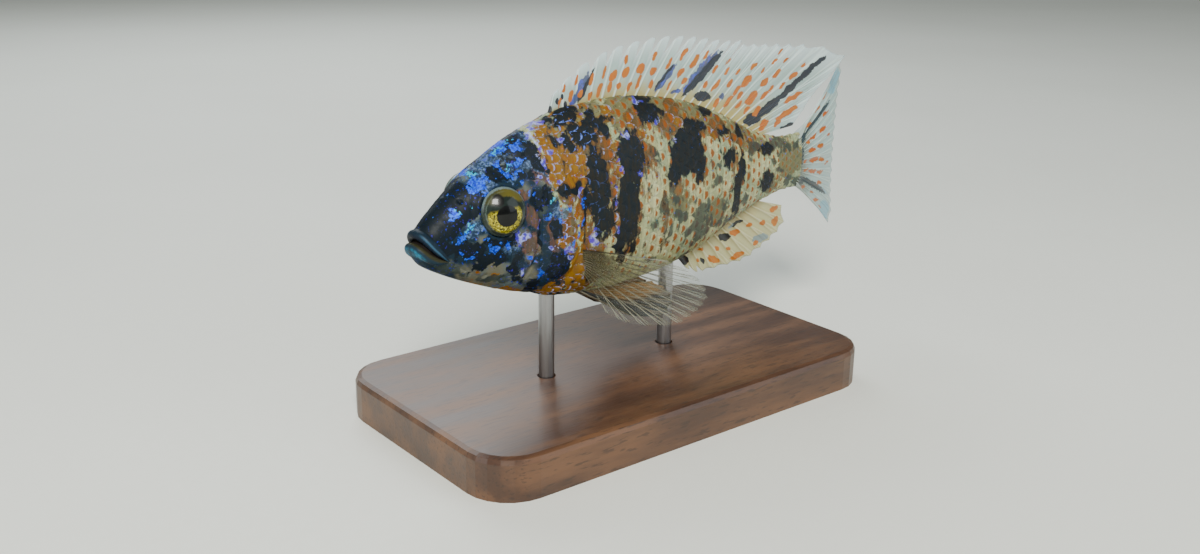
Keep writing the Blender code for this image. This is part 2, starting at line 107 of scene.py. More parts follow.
def spineLine(tailShare):
    if tailShare not in spineLines:
        step = 0.1
        s = np.arange(-6.0, 130.0, step)
        turn = heading(s[:-1] + 0.5 * step, tailShare)
        x = np.concatenate(((0.0,), np.cumsum(np.cos(turn) * step)))
        y = np.concatenate(((0.0,), np.cumsum(np.sin(turn) * step)))
        start = body["turnStart"]
        spineLines[tailShare] = (s, x - np.interp(start, s, x), y - np.interp(start, s, y))
    return spineLines[tailShare]


def bend(points, tailShare=1.0):  # straight fish to its place in the model, in metres
    s, y, z = points[..., 0], points[..., 1], points[..., 2]
    line, xs, ys = spineLine(tailShare)
    turn = heading(s, tailShare)
    return mm * np.stack((
        np.interp(s, line, xs) - y * np.sin(turn) + body["spineOffset"],
        np.interp(s, line, ys) + y * np.cos(turn),
        z + body["spineHeight"],
    ), -1)


def bodyMiddle(s):
    low = curve(body["belly"], s)
    return low + (curve(body["back"], s) - low) * body["widestAt"]


def surface(s, angle):  # angle in degrees round from the back, negative on the left
    s, angle = np.broadcast_arrays(np.asarray(s, float), np.asarray(angle, float))
    turn = np.radians(angle)
    top, low, middle = curve(body["back"], s), curve(body["belly"], s), bodyMiddle(s)
    up = np.cos(turn)
    z = middle + np.where(up > 0.0, top - middle, middle - low) * up
    side = np.abs(np.sin(turn))
    roundness = np.where(up > 0.0, body["backRoundness"], body["bellyRoundness"])
    y = curve(body["halfWidth"], s) * side**roundness
    right = turn > 0.0
    rise = np.where(right, body["rightOrbitUp"], 0.0)
    away = np.hypot(s - body["orbitAt"][0], z - body["orbitAt"][1] - rise) / body["orbitSpread"]
    y = y + np.where(right, body["rightOrbitSwell"], body["orbitSwell"]) * side * np.exp(-away * away)
    return np.stack((s, y * np.sign(np.sin(turn)), z), -1)


def outward(s, angle):
    along = bend(surface(s + 0.1, angle)) - bend(surface(s - 0.1, angle))
    across = bend(surface(s, angle + 0.6)) - bend(surface(s, angle - 0.6))
    normal = np.cross(along, across)
    return normal / np.linalg.norm(normal, axis=-1, keepdims=True)


def onBody(s, angle, out):
    return bend(surface(s, angle)) + outward(s, angle) * np.asarray(out)[..., None] * mm


# Where each mark lies on the left flank: behind the snout, up, half length, half height, tilt in degrees
markings = {
    "black": (
        (37.6, 5.0, 2.6, 6.8, 4), (38.4, -1.5, 1.7, 3.4, 0), (45.6, 9.0, 3.1, 4.6, -8),
        (43.6, 1.5, 1.7, 6.0, 0), (43.0, -6.5, 1.6, 4.0, 6), (45.2, -1.6, 1.5, 6.8, 4),
        (52.6, 16.4, 2.8, 2.6, 0), (60.8, 8.2, 5.0, 4.4, 0), (57.0, 4.6, 1.9, 2.4, -20),
        (64.0, 5.6, 1.9, 3.4, 0), (73.2, 4.4, 1.7, 2.0, 0), (77.4, 2.5, 1.1, 3.6, 0),
        (76.6, -3.6, 1.4, 4.6, 4), (33.4, 17.2, 3.2, 1.3, 18), (32.0, 13.6, 1.3, 1.5, -30),
        (35.6, 13.9, 2.3, 2.0, 0), (39.2, 16.9, 1.6, 1.5, 0), (41.2, 14.4, 0.8, 1.7, -30),
        (29.0, 13.4, 0.7, 1.4, -12), (69.2, 14.2, 1.5, 1.0, -20), (66.4, 12.0, 1.1, 0.8, 0),
        (62.6, 12.6, 1.0, 1.1, 0), (72.6, 9.6, 1.1, 1.0, 0), (78.2, 9.3, 1.2, 1.0, -20),
        (34.5, 1.0, 0.9, 5.2, -3), (23.6, -1.6, 0.35, 3.8, 3), (30.4, 5.2, 3.0, 0.9, -6),
        (24.6, 4.4, 2.4, 1.3, 8), (86.6, 4.4, 2.3, 1.2, 0), (86.4, -2.6, 1.7, 2.0, 0),
        (36.5, -13.2, 0.5, 0.5, 0), (33.4, -12.7, 0.5, 0.4, 0), (35.2, -10.2, 0.4, 0.6, 0),
        (17.6, 9.5, 2.8, 1.3, 14), (22.3, 11.7, 2.5, 1.1, 8), (24.8, 12.9, 1.1, 1.4, 0),
        (25.2, 10.4, 1.8, 1.2, -20), (26.8, 8.8, 1.0, 0.5, 0), (22.2, 8.5, 1.4, 0.6, 0),
        (22.3, 14.3, 1.7, 0.5, 26), (28.6, -8.9, 2.9, 3.0, 0), (27.6, -1.6, 0.9, 2.0, 20),
        (14.4, -5.4, 3.0, 1.5, 0), (19.8, -5.9, 1.6, 1.2, 0), (19.2, -8.0, 1.1, 1.2, 0),
        (24.6, -12.4, 1.5, 1.9, 30), (20.4, -10.6, 1.6, 0.9, 0), (16.0, -2.2, 3.5, 1.0, -4),
        (6.0, 2.2, 5.2, 2.3, 38), (10.6, 5.4, 3.0, 2.6, 40), (9.0, -2.6, 4.2, 1.6, -12),
        (5.0, -2.0, 3.2, 1.3, -32),
    ),
    "slate": (
        (61.6, -8.4, 1.6, 1.4, 20), (68.4, -7.0, 1.3, 2.2, 10), (58.0, -4.0, 1.2, 1.6, 0),
        (53.6, -1.6, 1.0, 2.0, 0), (75.4, -8.6, 1.8, 1.0, 16), (79.8, -5.2, 1.4, 1.2, 0),
        (49.0, 4.4, 0.9, 1.8, 8), (52.0, 8.4, 1.0, 2.4, 8), (60.2, -4.4, 2.0, 1.5, 30),
        (65.0, -6.4, 2.2, 3.6, 12), (62.4, -2.6, 1.3, 0.9, 0), (67.2, -2.8, 1.0, 1.9, 0),
        (66.2, -10.4, 2.8, 1.3, 24), (69.6, 0.5, 1.9, 1.2, 0), (73.2, -4.6, 1.0, 1.5, 0),
        (50.6, -4.6, 1.7, 1.4, 0), (56.6, -7.8, 1.4, 1.9, 0), (48.0, -2.6, 1.3, 0.9, 0),
        (46.6, -5.8, 0.9, 1.4, 0), (57.0, -0.6, 1.4, 0.8, 20), (93.0, 3.4, 2.9, 1.1, 0),
        (97.6, 4.0, 1.8, 0.9, 0), (94.6, -3.4, 1.7, 1.0, 0), (98.0, -4.7, 1.8, 0.8, 0),
        (82.6, 5.4, 2.0, 0.9, -14), (90.6, -0.4, 1.4, 0.8, 0), (63.2, -14.6, 2.2, 0.8, 16),
        (71.6, -8.4, 1.6, 1.2, 0), (46.2, 13.2, 1.4, 1.0, 0), (57.4, 12.4, 1.3, 0.7, 0),
        (75.0, -0.4, 1.4, 0.7, 0), (80.4, 3.2, 0.9, 1.4, 0), (90.0, 5.2, 4.4, 1.1, 0),
        (55.4, 1.2, 0.9, 1.6, 0), (52.8, -12.6, 1.3, 0.7, 0), (70.0, 3.6, 0.8, 1.0, 0),
        (88.4, 1.6, 1.2, 0.7, 0), (17.0, -10.0, 4.0, 0.8, -16), (24.4, 2.6, 1.0, 1.2, 0),
        (6.6, -6.0, 3.6, 0.9, -34),
    ),
    "blue": (
        (8.3, 3.2, 1.2, 0.5, 8), (8.2, -0.5, 1.7, 0.8, 12), (10.2, 0.6, 1.1, 0.7, 20),
        (12.8, -2.0, 0.6, 0.4, 0), (15.7, -2.2, 0.6, 0.3, 0), (14.8, -3.6, 1.0, 0.9, 0),
        (17.8, -3.0, 0.7, 0.8, 0), (8.4, -3.1, 0.5, 0.3, 0), (13.4, 8.3, 1.2, 1.2, 40),
        (12.4, 7.2, 0.8, 0.5, 0), (14.0, 6.3, 0.9, 0.5, 0), (21.2, 10.4, 1.3, 0.6, 14),
        (18.6, 9.4, 0.9, 0.6, 0), (17.8, 11.0, 1.0, 0.5, 30), (20.6, 12.9, 2.6, 0.8, 18),
        (23.2, 13.9, 1.3, 0.4, 18), (19.9, 7.4, 0.5, 0.3, 0), (21.6, 7.5, 0.4, 0.3, 0),
        (22.3, 6.1, 0.4, 0.3, 0), (21.0, 9.2, 0.7, 0.5, 0), (26.3, 3.3, 0.5, 0.7, 20),
        (26.0, 0.8, 0.5, 0.4, 0), (27.6, 0.2, 0.7, 0.3, -10), (28.4, -0.6, 0.6, 0.4, -30),
        (29.9, 1.6, 0.9, 0.7, 0), (32.0, -1.7, 0.5, 0.4, 0), (32.1, -3.0, 0.3, 1.1, 0),
        (31.5, -5.2, 0.6, 0.4, 40), (22.3, -6.0, 0.4, 0.8, 0), (24.5, -7.2, 0.4, 0.9, 12),
        (25.0, -10.0, 0.4, 1.0, 20), (20.2, 6.0, 0.3, 0.3, 0), (23.2, 5.2, 0.3, 0.3, 0),
        (10.2, -4.0, 1.5, 0.4, 4), (28.8, -1.8, 0.4, 0.3, 0), (29.0, -3.2, 0.3, 0.2, 0),
        (34.0, 2.0, 0.45, 1.5, 4), (33.6, -1.0, 0.4, 1.0, -10),
    ),
    "lilac": (
        (24.4, 7.7, 0.7, 0.5, 0), (26.2, 7.3, 0.4, 1.3, 38), (28.8, 6.8, 0.9, 0.6, 0),
        (26.0, 10.8, 0.5, 1.6, 18), (26.3, 13.6, 0.5, 1.8, 20), (25.6, 15.0, 1.3, 0.6, 24),
        (27.8, 16.2, 1.4, 0.5, 24), (27.9, 11.8, 0.9, 0.5, -30), (30.6, 13.4, 0.7, 0.8, 30),
        (32.6, 14.8, 0.5, 0.9, 10), (30.8, -6.1, 1.0, 0.6, -14), (31.3, -7.7, 0.5, 0.5, 0),
        (33.0, 4.0, 0.8, 0.6, 0), (29.6, 3.6, 0.8, 0.4, 0), (26.4, -5.0, 0.9, 0.5, 0),
        (20.4, -2.2, 1.0, 1.0, 0), (36.4, -4.6, 0.8, 1.7, 10), (41.3, 3.0, 0.4, 2.6, 6),
        (36.9, 16.4, 0.6, 1.2, 12), (23.1, -0.7, 0.3, 0.7, 0), (42.2, 9.0, 0.5, 2.4, 8),
        (45.0, 12.6, 1.2, 0.7, 20), (50.4, 17.9, 1.0, 0.6, 0), (54.0, 14.2, 1.0, 0.7, 0),
        (57.0, 10.4, 0.9, 0.6, 0), (21.2, -8.6, 0.5, 1.0, 0), (47.4, 6.2, 0.7, 0.6, 30),
        (41.8, -4.6, 0.5, 1.4, 0),
    ),
    "ochre": (
        (32.4, 9.6, 4.9, 3.8, -30), (28.7, 8.8, 2.6, 4.8, 16), (40.4, 11.4, 2.2, 3.2, 0),
        (37.4, 8.2, 2.6, 3.0, 0), (28.8, 12.0, 2.4, 2.6, -10), (31.6, 6.2, 2.0, 2.0, 0),
        (27.8, 14.4, 1.9, 1.2, 30), (29.6, 11.0, 2.4, 2.0, 0), (36.2, 15.9, 1.2, 1.3, 0),
        (34.5, -4.4, 1.5, 2.3, -20), (40.8, -1.0, 1.3, 6.0, 6), (46.6, 3.9, 0.5, 0.9, 0),
        (42.0, 7.4, 0.7, 2.4, 0), (42.6, 16.6, 1.4, 1.4, 0), (46.8, 15.2, 1.6, 1.3, -24),
        (49.6, 12.6, 2.2, 1.0, -30), (57.8, 15.2, 1.5, 1.0, -20), (60.6, 13.4, 1.6, 0.9, 0),
        (66.0, 13.8, 1.4, 0.7, -20), (74.2, 8.4, 1.2, 1.0, 0), (80.6, 6.9, 1.6, 0.7, -20),
        (69.4, 10.2, 1.1, 0.9, 0), (29.2, -1.6, 1.0, 1.6, 20), (29.4, -4.1, 1.9, 1.0, 0),
        (30.2, 3.0, 1.2, 0.7, 0), (32.4, -8.4, 1.2, 2.4, 20), (33.0, -12.0, 2.6, 3.0, 0),
        (29.0, -14.6, 3.2, 1.2, -16), (36.4, -14.4, 2.4, 2.2, 0), (36.0, -8.0, 1.6, 2.2, 0),
        (32.0, 1.0, 0.7, 0.5, 0), (33.8, 3.0, 1.0, 2.6, 0), (34.4, -9.4, 1.0, 3.4, 0),
        (28.8, 15.6, 1.6, 1.1, 20), (15.0, -11.3, 3.2, 0.6, -22), (22.0, -14.1, 3.6, 0.7, -18),
        (12.4, -7.2, 0.5, 0.4, 0), (16.0, -8.9, 0.7, 0.5, 0),
    ),
    "frost": (
        (16.4, 11.4, 4.2, 1.8, 36), (21.6, 12.9, 4.6, 2.2, 24), (13.6, 7.8, 2.4, 1.8, 44),
        (25.0, 9.4, 3.0, 2.2, -24), (19.6, 9.3, 3.0, 1.3, 14), (10.8, 0.4, 2.6, 1.3, 24),
        (28.2, 0.6, 1.8, 1.8, 0), (17.6, -3.4, 2.2, 1.2, 0), (31.0, -5.6, 1.2, 1.6, 0),
        (11.6, 7.0, 2.6, 0.7, 42), (31.6, 3.6, 1.2, 1.0, 0),
    ),
    "brown": (
        (29.8, 4.8, 2.6, 2.2, 0), (38.6, 10.6, 3.2, 4.4, 0), (47.6, 9.8, 2.4, 4.6, 8),
        (42.6, -1.0, 1.0, 6.0, 4), (22.6, 1.6, 1.6, 2.4, 10), (22.0, -3.6, 1.6, 2.6, 6),
        (27.0, -2.2, 1.8, 3.2, 10), (30.4, -1.6, 1.6, 3.0, 8), (30.6, 3.4, 1.8, 1.4, 0),
        (33.6, 1.6, 1.4, 5.0, 4), (35.4, -7.4, 1.8, 4.0, 8), (41.0, 3.0, 1.4, 7.0, 6),
        (43.6, -6.6, 2.0, 4.4, 6), (46.0, -2.0, 1.6, 3.6, 0), (50.6, 8.6, 1.4, 3.6, 8),
        (48.4, 2.6, 1.2, 2.6, 0), (57.6, 1.8, 2.0, 1.6, 0), (65.8, 3.0, 0.9, 3.0, 0),
        (75.2, 1.6, 1.2, 4.2, 0), (38.0, -6.6, 1.4, 3.4, 6), (35.2, -1.6, 1.1, 6.0, 0),
        (30.0, -11.6, 1.4, 1.6, 0), (56.0, 13.0, 2.8, 2.2, 0), (64.6, 11.6, 2.6, 2.0, 0),
        (71.0, 11.4, 2.6, 1.5, -20), (48.4, 15.6, 2.6, 1.8, 0), (59.6, 16.0, 2.6, 1.4, -10),
        (77.0, 7.8, 2.4, 1.4, -26), (20.6, 5.8, 1.8, 0.8, 18), (24.6, 7.6, 1.8, 1.0, -30),
        (79.8, 0.4, 0.8, 3.4, 0), (54.4, -5.0, 1.2, 2.2, 0),
    ),
    "olive": (
        (20.6, 6.0, 2.0, 0.9, 18), (37.0, 15.6, 6.4, 4.2, 10), (48.0, 16.6, 6.0, 4.0, 0),
        (30.4, 14.4, 3.0, 2.2, 30), (56.0, 15.6, 7.0, 3.6, -12), (67.0, 13.0, 6.6, 3.2, -26),
        (78.0, 8.6, 6.0, 2.4, -26), (84.0, 5.6, 6.0, 1.8, -12), (95.0, 1.0, 5.0, 4.0, 0),
        (49.0, 9.0, 2.4, 4.0, 0), (88.0, -3.4, 3.4, 2.0, 0), (70.0, -6.0, 3.6, 3.4, 0),
        (24.6, 2.2, 1.0, 2.2, 0), (14.0, 2.6, 1.6, 1.0, 0), (58.0, -2.0, 4.0, 2.6, 0),
    ),
    "pale": (
        (17.0, -12.9, 9.0, 0.8, -24), (33.0, -16.4, 5.4, 0.9, -8), (27.6, -15.0, 3.4, 0.8, -22),
        (48.0, -16.0, 10.0, 1.6, 4), (68.4, 8.0, 2.0, 3.0, 0), (50.5, 3.0, 2.4, 6.0, 0),
        (53.6, -9.0, 4.6, 3.4, 0), (72.4, -0.6, 1.6, 2.4, 0), (84.0, 0.6, 3.6, 2.0, 0),
        (81.0, -5.4, 3.0, 2.0, 0), (36.6, -5.2, 0.9, 2.0, 0), (63.0, 0.6, 3.4, 1.6, 0),
    ),
    "tan": (
        (19.6, -1.9, 1.7, 1.5, 0), (22.4, 1.8, 1.2, 1.2, 0), (22.6, -4.5, 1.2, 1.9, 0),
        (23.2, -9.4, 1.4, 1.4, 0), (15.8, -7.6, 5.4, 1.6, -18), (9.6, -7.4, 4.4, 1.3, -28),
        (18.0, -11.2, 5.8, 1.6, -20), (21.4, 6.2, 1.7, 0.9, 20), (12.4, -9.0, 3.4, 1.2, -24),
        (24.0, -13.0, 3.0, 1.0, -18), (12.6, -5.6, 1.2, 0.7, -20), (20.6, -9.4, 1.6, 0.8, -20),
        (25.2, 7.4, 2.4, 1.2, -34), (31.2, 0.6, 1.6, 1.8, 0), (10.2, 2.2, 1.5, 1.0, 20),
        (18.6, 10.8, 2.4, 1.0, 24), (24.4, 3.0, 0.9, 0.8, 0), (29.0, 16.2, 2.6, 0.8, 22),
        (13.0, 9.4, 2.0, 0.7, 34), (12.0, -1.6, 0.9, 0.9, 0),
    ),
}
markChannels = {  # which marks each of a mesh's colour attributes carries
    "marks": ("black", "blue", "ochre", "tan"),
    "tones": ("slate", "lilac", "head", "brown"),
    "grounds": ("frost", "olive", "pale", "spots"),
}
markPlan = {
    "seed": 5,
    "drift": 2.4,  # how far the far flank's marks stray from the near flank's
    "grow": 0.2,  # and how much larger or smaller they may be
    "driftDepth": 8.0,  # near the back and belly lines they stray less, so that the flanks meet
    "waves": ((0.7, 1.5, 1.0), (0.3, 0.6, 4.0)),  # uneven edges: how far, how long, and which
    "softEdge": 1.7,
    "softRange": (0.5, 1.5),
    "headEnd": (24.0, 34.0),
    "headSlant": 0.25,
    "spotsFrom": (34.0, 44.0),
    "spotsFade": (84.0, 99.0),
    "spotsFadeShare": 0.55,
    "spotsAboveBelly": (-17.5, -12.0),
    "napeWarmth": (0.58, 34.0, 6.0),  # ochre under the marks: how strong, where, how far
    "backWarmth": (0.1, 50.0, 14.0),
    "backFrom": 6.0,
}


def bump(distance, size):
    return np.exp(-((distance / size) ** 2))


def wobble(s, z, size, seed):  # a smooth uneven field, about -1 to 1
    a = np.sin(s * 1.13 / size + z * 0.71 / size + seed)
    b = np.sin(s * -1.87 / size + z * 1.53 / size + 2.1 * seed)
    c = np.sin(s * 2.91 / size + z * 2.37 / size + 3.7 * seed)
    return (a + 0.7 * b + 0.5 * c) / 2.2


def depthShare(s, z):  # 0 on the back and belly lines, 1 well inside the flank
    inside = np.minimum(curve(body["back"], s) - z, z - curve(body["belly"], s))
    return np.clip(inside / markPlan["driftDepth"], 0.0, 1.0)


def ovalDistance(ds, dz, halfLength, halfHeight, tilt):  # 1 on the edge of a tilted oval
    turn = math.radians(tilt)
    along = ds * math.cos(turn) + dz * math.sin(turn)
    across = dz * math.cos(turn) - ds * math.sin(turn)
    return np.sqrt((along / halfLength) ** 2 + (across / halfHeight) ** 2)


def markField(kind, s, z, left):  # 1 inside a mark, 0.5 on its edge
    plan = markPlan
    warpedS, warpedZ = s, z
    for far, size, seed in plan["waves"]:
        warpedS = warpedS + far * wobble(s, z, size, seed)
        warpedZ = warpedZ + far * wobble(s, z, size, seed + 1.0)
    field = np.zeros(np.shape(s))
    random = np.random.default_rng(plan["seed"])
    crisp, blurred = plan["softRange"]
    for middleS, middleZ, halfLength, halfHeight, tilt in markings[kind]:
        drift = random.uniform(-plan["drift"], plan["drift"], 2) * depthShare(middleS, middleZ)
        grow = 1.0 + plan["grow"] * random.uniform(-1.0, 1.0)
        ds = warpedS - middleS
        dz = warpedZ - middleZ
        if not left:
            ds, dz = (ds - drift[0]) / grow, (dz - drift[1]) / grow
        away = ovalDistance(ds, dz, halfLength, halfHeight, tilt)
        soft = min(max(plan["softEdge"] / min(halfLength, halfHeight), crisp), blurred)
        field = np.maximum(field, np.clip(0.5 + (1.0 - away) / soft, 0.0, 1.0))
    return field


def warmth(spot, s):
    strength, middle, reach = spot
    return strength * bump(s - middle, reach)


def bodyMarks(s, z, left):
    plan = markPlan
    sides = [{kind: markField(kind, s, z, side) for kind in markings} for side in (True, False)]
    field = {kind: np.where(left, sides[0][kind], sides[1][kind]) for kind in markings}
    field["head"] = 1.0 - ease(*plan["headEnd"], s + plan["headSlant"] * z)
    spots = ease(*plan["spotsFrom"], s) * (1.0 - plan["spotsFadeShare"] * ease(*plan["spotsFade"], s))
    field["spots"] = spots * ease(*plan["spotsAboveBelly"], z)
    warm = warmth(plan["napeWarmth"], s) + (z > plan["backFrom"]) * warmth(plan["backWarmth"], s)
    field["ochre"] = np.maximum(field["ochre"], warm)
    return {name: np.stack([field[kind] for kind in kinds], -1) for name, kinds in markChannels.items()}


# Head forms, all on the straight fish
headForms = {
    "mouthCorner": (6.4, 3.55, -4.5),
    "mouthCornerAngle": 118.0,
    "mouthCornerAt": 0.25,  # of the way round, from 0 at the upper lip's middle to 0.5 at the lower lip's
    "upperLip": (
        (0.0, 2.35, 0.0, 0.4, 0.8), (0.25, 2.55, 1.25, 0.1, 0.8), (0.45, 3.0, 2.25, -0.6, 0.78),
        (0.7, 3.9, 3.1, -1.85, 0.72), (0.9, 5.0, 3.45, -3.0, 0.6), (1.0, 5.9, 3.45, -3.9, 0.4),
    ),
    "lowerLip": (
        (0.0, 1.55, 0.0, -1.8, 0.86), (0.25, 1.75, 1.1, -2.05, 0.88), (0.45, 2.25, 1.85, -2.64, 0.88),
        (0.7, 3.35, 2.55, -3.6, 0.82), (0.9, 4.8, 3.05, -4.36, 0.64), (1.0, 5.9, 3.3, -4.74, 0.4),
    ),
    "mouthDepth": 1.5,
    "lipsFaceFrom": (11.0, 0.0, -2.0),  # each ring of the lips looks away from this place
    "lipToFace": (0.4, 0.35),  # how far the face keeps the lip's direction, and the snout's
    "lipStart": -98.0,  # degrees round the lip, from inside the mouth
    "lipWrap": (76.0, 26.0, 34.0),  # degrees: upper lip, lower lip in front, more of it at the corner
    "cornerBlend": 0.16,  # the share of each lip that runs into the mouth's corner
    "lipBase": (
        (0.0, 2.9), (53.0, 3.8), (83.0, 5.0), (106.0, 6.2), (118.0, 6.9),
        (124.0, 6.0), (137.0, 4.9), (152.0, 3.8), (180.0, 3.4),
    ),
    "gillEdge": (
        (0.0, 28.3), (35.0, 28.6), (58.0, 30.0), (79.0, 32.8), (93.0, 33.7),
        (106.0, 33.5), (122.0, 32.2), (135.0, 30.3), (157.0, 26.6), (180.0, 24.0),
    ),
    "gillStep": 0.5,
    "gillStepFade": (0.6, 4.0),  # behind the edge, where the flank comes up again
    "gillRim": (0.1, 0.35, 0.45),  # how high, how far in front of the edge, how broad
    "coverTop": 60.0,  # degrees from the back: nearer the back the cover's edge grows into the nape
    "coverFade": (54.0, 72.0),
    "throatFrom": 110.0,  # degrees: from here down the edge stays at least this free
    "throatShare": 0.55,
    "eyeMiddle": (16.7, 5.5, 3.0),
    "rightEyeShift": (0.0, 0.6, 0.6),
    "eyeAxis": (-0.26, 1.0, 0.15),
    "eyeRadius": 4.35,
    "eyeDepth": 2.6,
    "eyeSegments": (96, 64),
    "cornea": (0.08, 0.5),  # its rise, and how far out it reaches, in shares of the eye
    "nostril": (7.4, 6.2),
    "preopercle": ((25.4, 5.4), (24.1, 2.6), (23.7, -2.6), (23.3, -6.8), (21.9, -10.2), (19.2, -12.4)),
    "jawFold": ((6.9, -4.7), (8.4, -6.0), (10.0, -6.9)),
    "gillRays": (
        ((14.0, -10.3), (22.0, -12.9), (27.0, -13.6)),
        ((18.0, -12.2), (25.0, -14.2), (30.0, -14.6)),
    ),
    "pores": (
        (9.6, -1.2, 0.75), (12.7, -2.2, 0.7), (14.9, -3.7, 1.0), (17.8, -3.2, 0.85), (20.6, -1.8, 0.7),
        (7.6, -6.2, 0.5), (10.6, -7.6, 0.6), (14.0, -8.6, 0.7), (17.6, -9.5, 0.75), (21.1, -8.7, 0.8),
        (22.2, -5.6, 0.7), (22.5, -1.6, 0.6), (12.4, 7.8, 0.6), (9.6, 5.4, 0.5), (26.9, -3.1, 0.5),
    ),
    "flap": (31.9, 0.4, 1.5),
}
headFinish = {  # height out of the face and breadth in mm, hollows below 0
    "socketRim": (0.1, 0.42), "socketFold": (-0.07, 0.5), "nostrilRim": (0.16, 0.2),
    "nostrilHole": (-0.5, 0.3), "preopercleGroove": (-0.34, 0.34), "cheekEdge": (0.12, 0.6),
    "jawFold": (-0.22, 0.28), "gillRay": (-0.14, 0.3), "flapRim": (0.1, 0.2), "poreRim": (0.06, 0.25),
    "socketRimAt": 4.95,  # mm from the eye's axis
    "socketFoldAt": 5.9,
    "socketWall": (3.7, 4.62),
    "socketDepth": 1.7,
    "nostrilRimAt": 0.55,
    "cheekEdgeBehind": 0.8,
    "poreDepth": 0.26,
    "poreBreadth": 0.75,  # of the pore's own size
    "unevenness": (0.05, 0.9, 7.0),  # how high, how long, and which
}
skinPlan = {
    "columns": 272, "headRows": 142, "bodyRows": 92, "lipSteps": 12, "chinSteps": 8,
    "coatDepth": 0.2, "underCoat": 0.03,
    "coatFrom": (-3.0, 0.5),  # over this stretch round the gill cover's edge the skin sinks under the scales
    "merge": 0.004,
}


def lipPath(table, share):
    rows = np.array(table)
    tables = [np.stack((rows[:, 0], rows[:, k]), -1) for k in range(1, 5)]
    behind, out, up, radius = (curve(one, np.abs(share)) for one in tables)
    return np.stack((behind, np.sign(share) * out, up), -1), radius


def unit(vectors):
    return vectors / np.maximum(np.linalg.norm(vectors, axis=-1, keepdims=True), 1e-9)


def mouthCorners(side):
    ones = np.ones(len(side))
    return np.array(headForms["mouthCorner"]) * np.stack((ones, side, ones), -1)


def lipOpening(share):  # 1 along the lips, 0 at the mouth's corner
    return ease(0.0, headForms["cornerBlend"], 1.0 - np.abs(share))[:, None]


def coatOffset(behind):  # how far the skin lies inside the body, for the scales over it
    return -skinPlan["coatDepth"] * ease(*skinPlan["coatFrom"], behind) - skinPlan["underCoat"]


def onLips(share, upper):  # middle line and radius of the upper lip, or of the lower one where upper is false
    paths = (lipPath(headForms[name], share) for name in ("upperLip", "lowerLip"))
    (high, highRadius), (low, lowRadius) = paths
    return np.where(upper[:, None], high, low), np.where(upper, highRadius, lowRadius)


def lipDirections(share, side, upper, centre):  # out of the mouth, and over the lip onto the face
    near = np.maximum(np.abs(share) - 0.02, 0.0)
    tangent = onLips(side * (near + 0.03), upper)[0] - onLips(side * near, upper)[0]
    tangent[:, 1] = side * np.maximum(np.abs(tangent[:, 1]), 1e-3)
    middleOut = ease(0.0, 0.2, np.abs(share))
    tangent = unit(tangent * np.stack((middleOut, np.ones(len(side)), middleOut), -1))
    forward = centre - np.array(headForms["lipsFaceFrom"])
    forward = unit(forward - (forward * tangent).sum(-1, keepdims=True) * tangent)
    away = np.cross(tangent, forward)
    return forward, away * (np.sign(away[:, 2:3]) * np.where(upper, 1.0, -1.0)[:, None])


def lipRings(u, lipSteps, chinSteps):  # from inside the mouth, over the lip, to the face round it
    side = np.where(u < 0.0, -1.0, 1.0)
    out, cornerAt = np.abs(u), headForms["mouthCornerAt"]
    upper = out <= cornerAt
    share = np.where(upper, out / cornerAt, (0.5 - out) / (0.5 - cornerAt)) * side
    centre, radius = onLips(share, upper)
    forward, away = lipDirections(share, side, upper, centre)
    corner = mouthCorners(side)
    upperWrap, lowerWrap, cornerWrap = headForms["lipWrap"]
    wrap = np.radians(np.where(upper, upperWrap, lowerWrap + cornerWrap * share**2))[:, None]
    start = math.radians(headForms["lipStart"])
    rings = []
    for step in np.linspace(0.0, 1.0, lipSteps):
        turn = start + (wrap - start) * step
        ring = centre + radius[:, None] * (forward * np.cos(turn) + away * np.sin(turn))
        rings.append(corner + (ring - corner) * lipOpening(share))
    lipEdge = rings[-1]
    angle = mouthAngle(u)
    begin = curve(headForms["lipBase"], np.abs(angle))
    base = surface(begin, angle)
    onFace = away * np.cos(wrap) - forward * np.sin(wrap)
    onward = unit(surface(begin + 0.3, angle) - base)
    reach = np.linalg.norm(base - lipEdge, axis=-1, keepdims=True)
    leaving, arriving = headForms["lipToFace"]
    leave = lipEdge + onFace * leaving * reach
    arrive = base - onward * arriving * reach
    for t in np.linspace(0.0, 1.0, chinSteps + 1)[1:-1]:
        first, second, third = (1 - t) ** 3, 3 * t * (1 - t) ** 2, 3 * t * t * (1 - t)
        rings.append(first * lipEdge + second * leave + third * arrive + t**3 * base)
    return [mouthInside(share)] + rings


def mouthInside(share):
    top = lipPath(headForms["upperLip"], share)[0]
    low = lipPath(headForms["lowerLip"], share)[0]
    middle = 0.5 * (top + low)
    behind = middle + np.array((headForms["mouthDepth"], 0.0, 0.0))
    corner = mouthCorners(np.sign(share))
    return corner + (behind - corner) * lipOpening(share)


def mouthAngle(u):
    corner, cornerAt = headForms["mouthCornerAngle"], headForms["mouthCornerAt"]
    out = np.abs(u)
    high = corner * out / cornerAt
    low = corner + (180.0 - corner) * (out - cornerAt) / (0.5 - cornerAt)
    return np.sign(u) * np.where(out <= cornerAt, high, low)


def lineDistance(line, s, z):
    nearest = np.full(np.shape(s), 99.0)
    for (s0, z0), (s1, z1) in zip(line, line[1:]):
        length = (s1 - s0) ** 2 + (z1 - z0) ** 2
        t = np.clip(((s - s0) * (s1 - s0) + (z - z0) * (z1 - z0)) / length, 0.0, 1.0)
        nearest = np.minimum(nearest, np.hypot(s - s0 - t * (s1 - s0), z - z0 - t * (z1 - z0)))
    return nearest


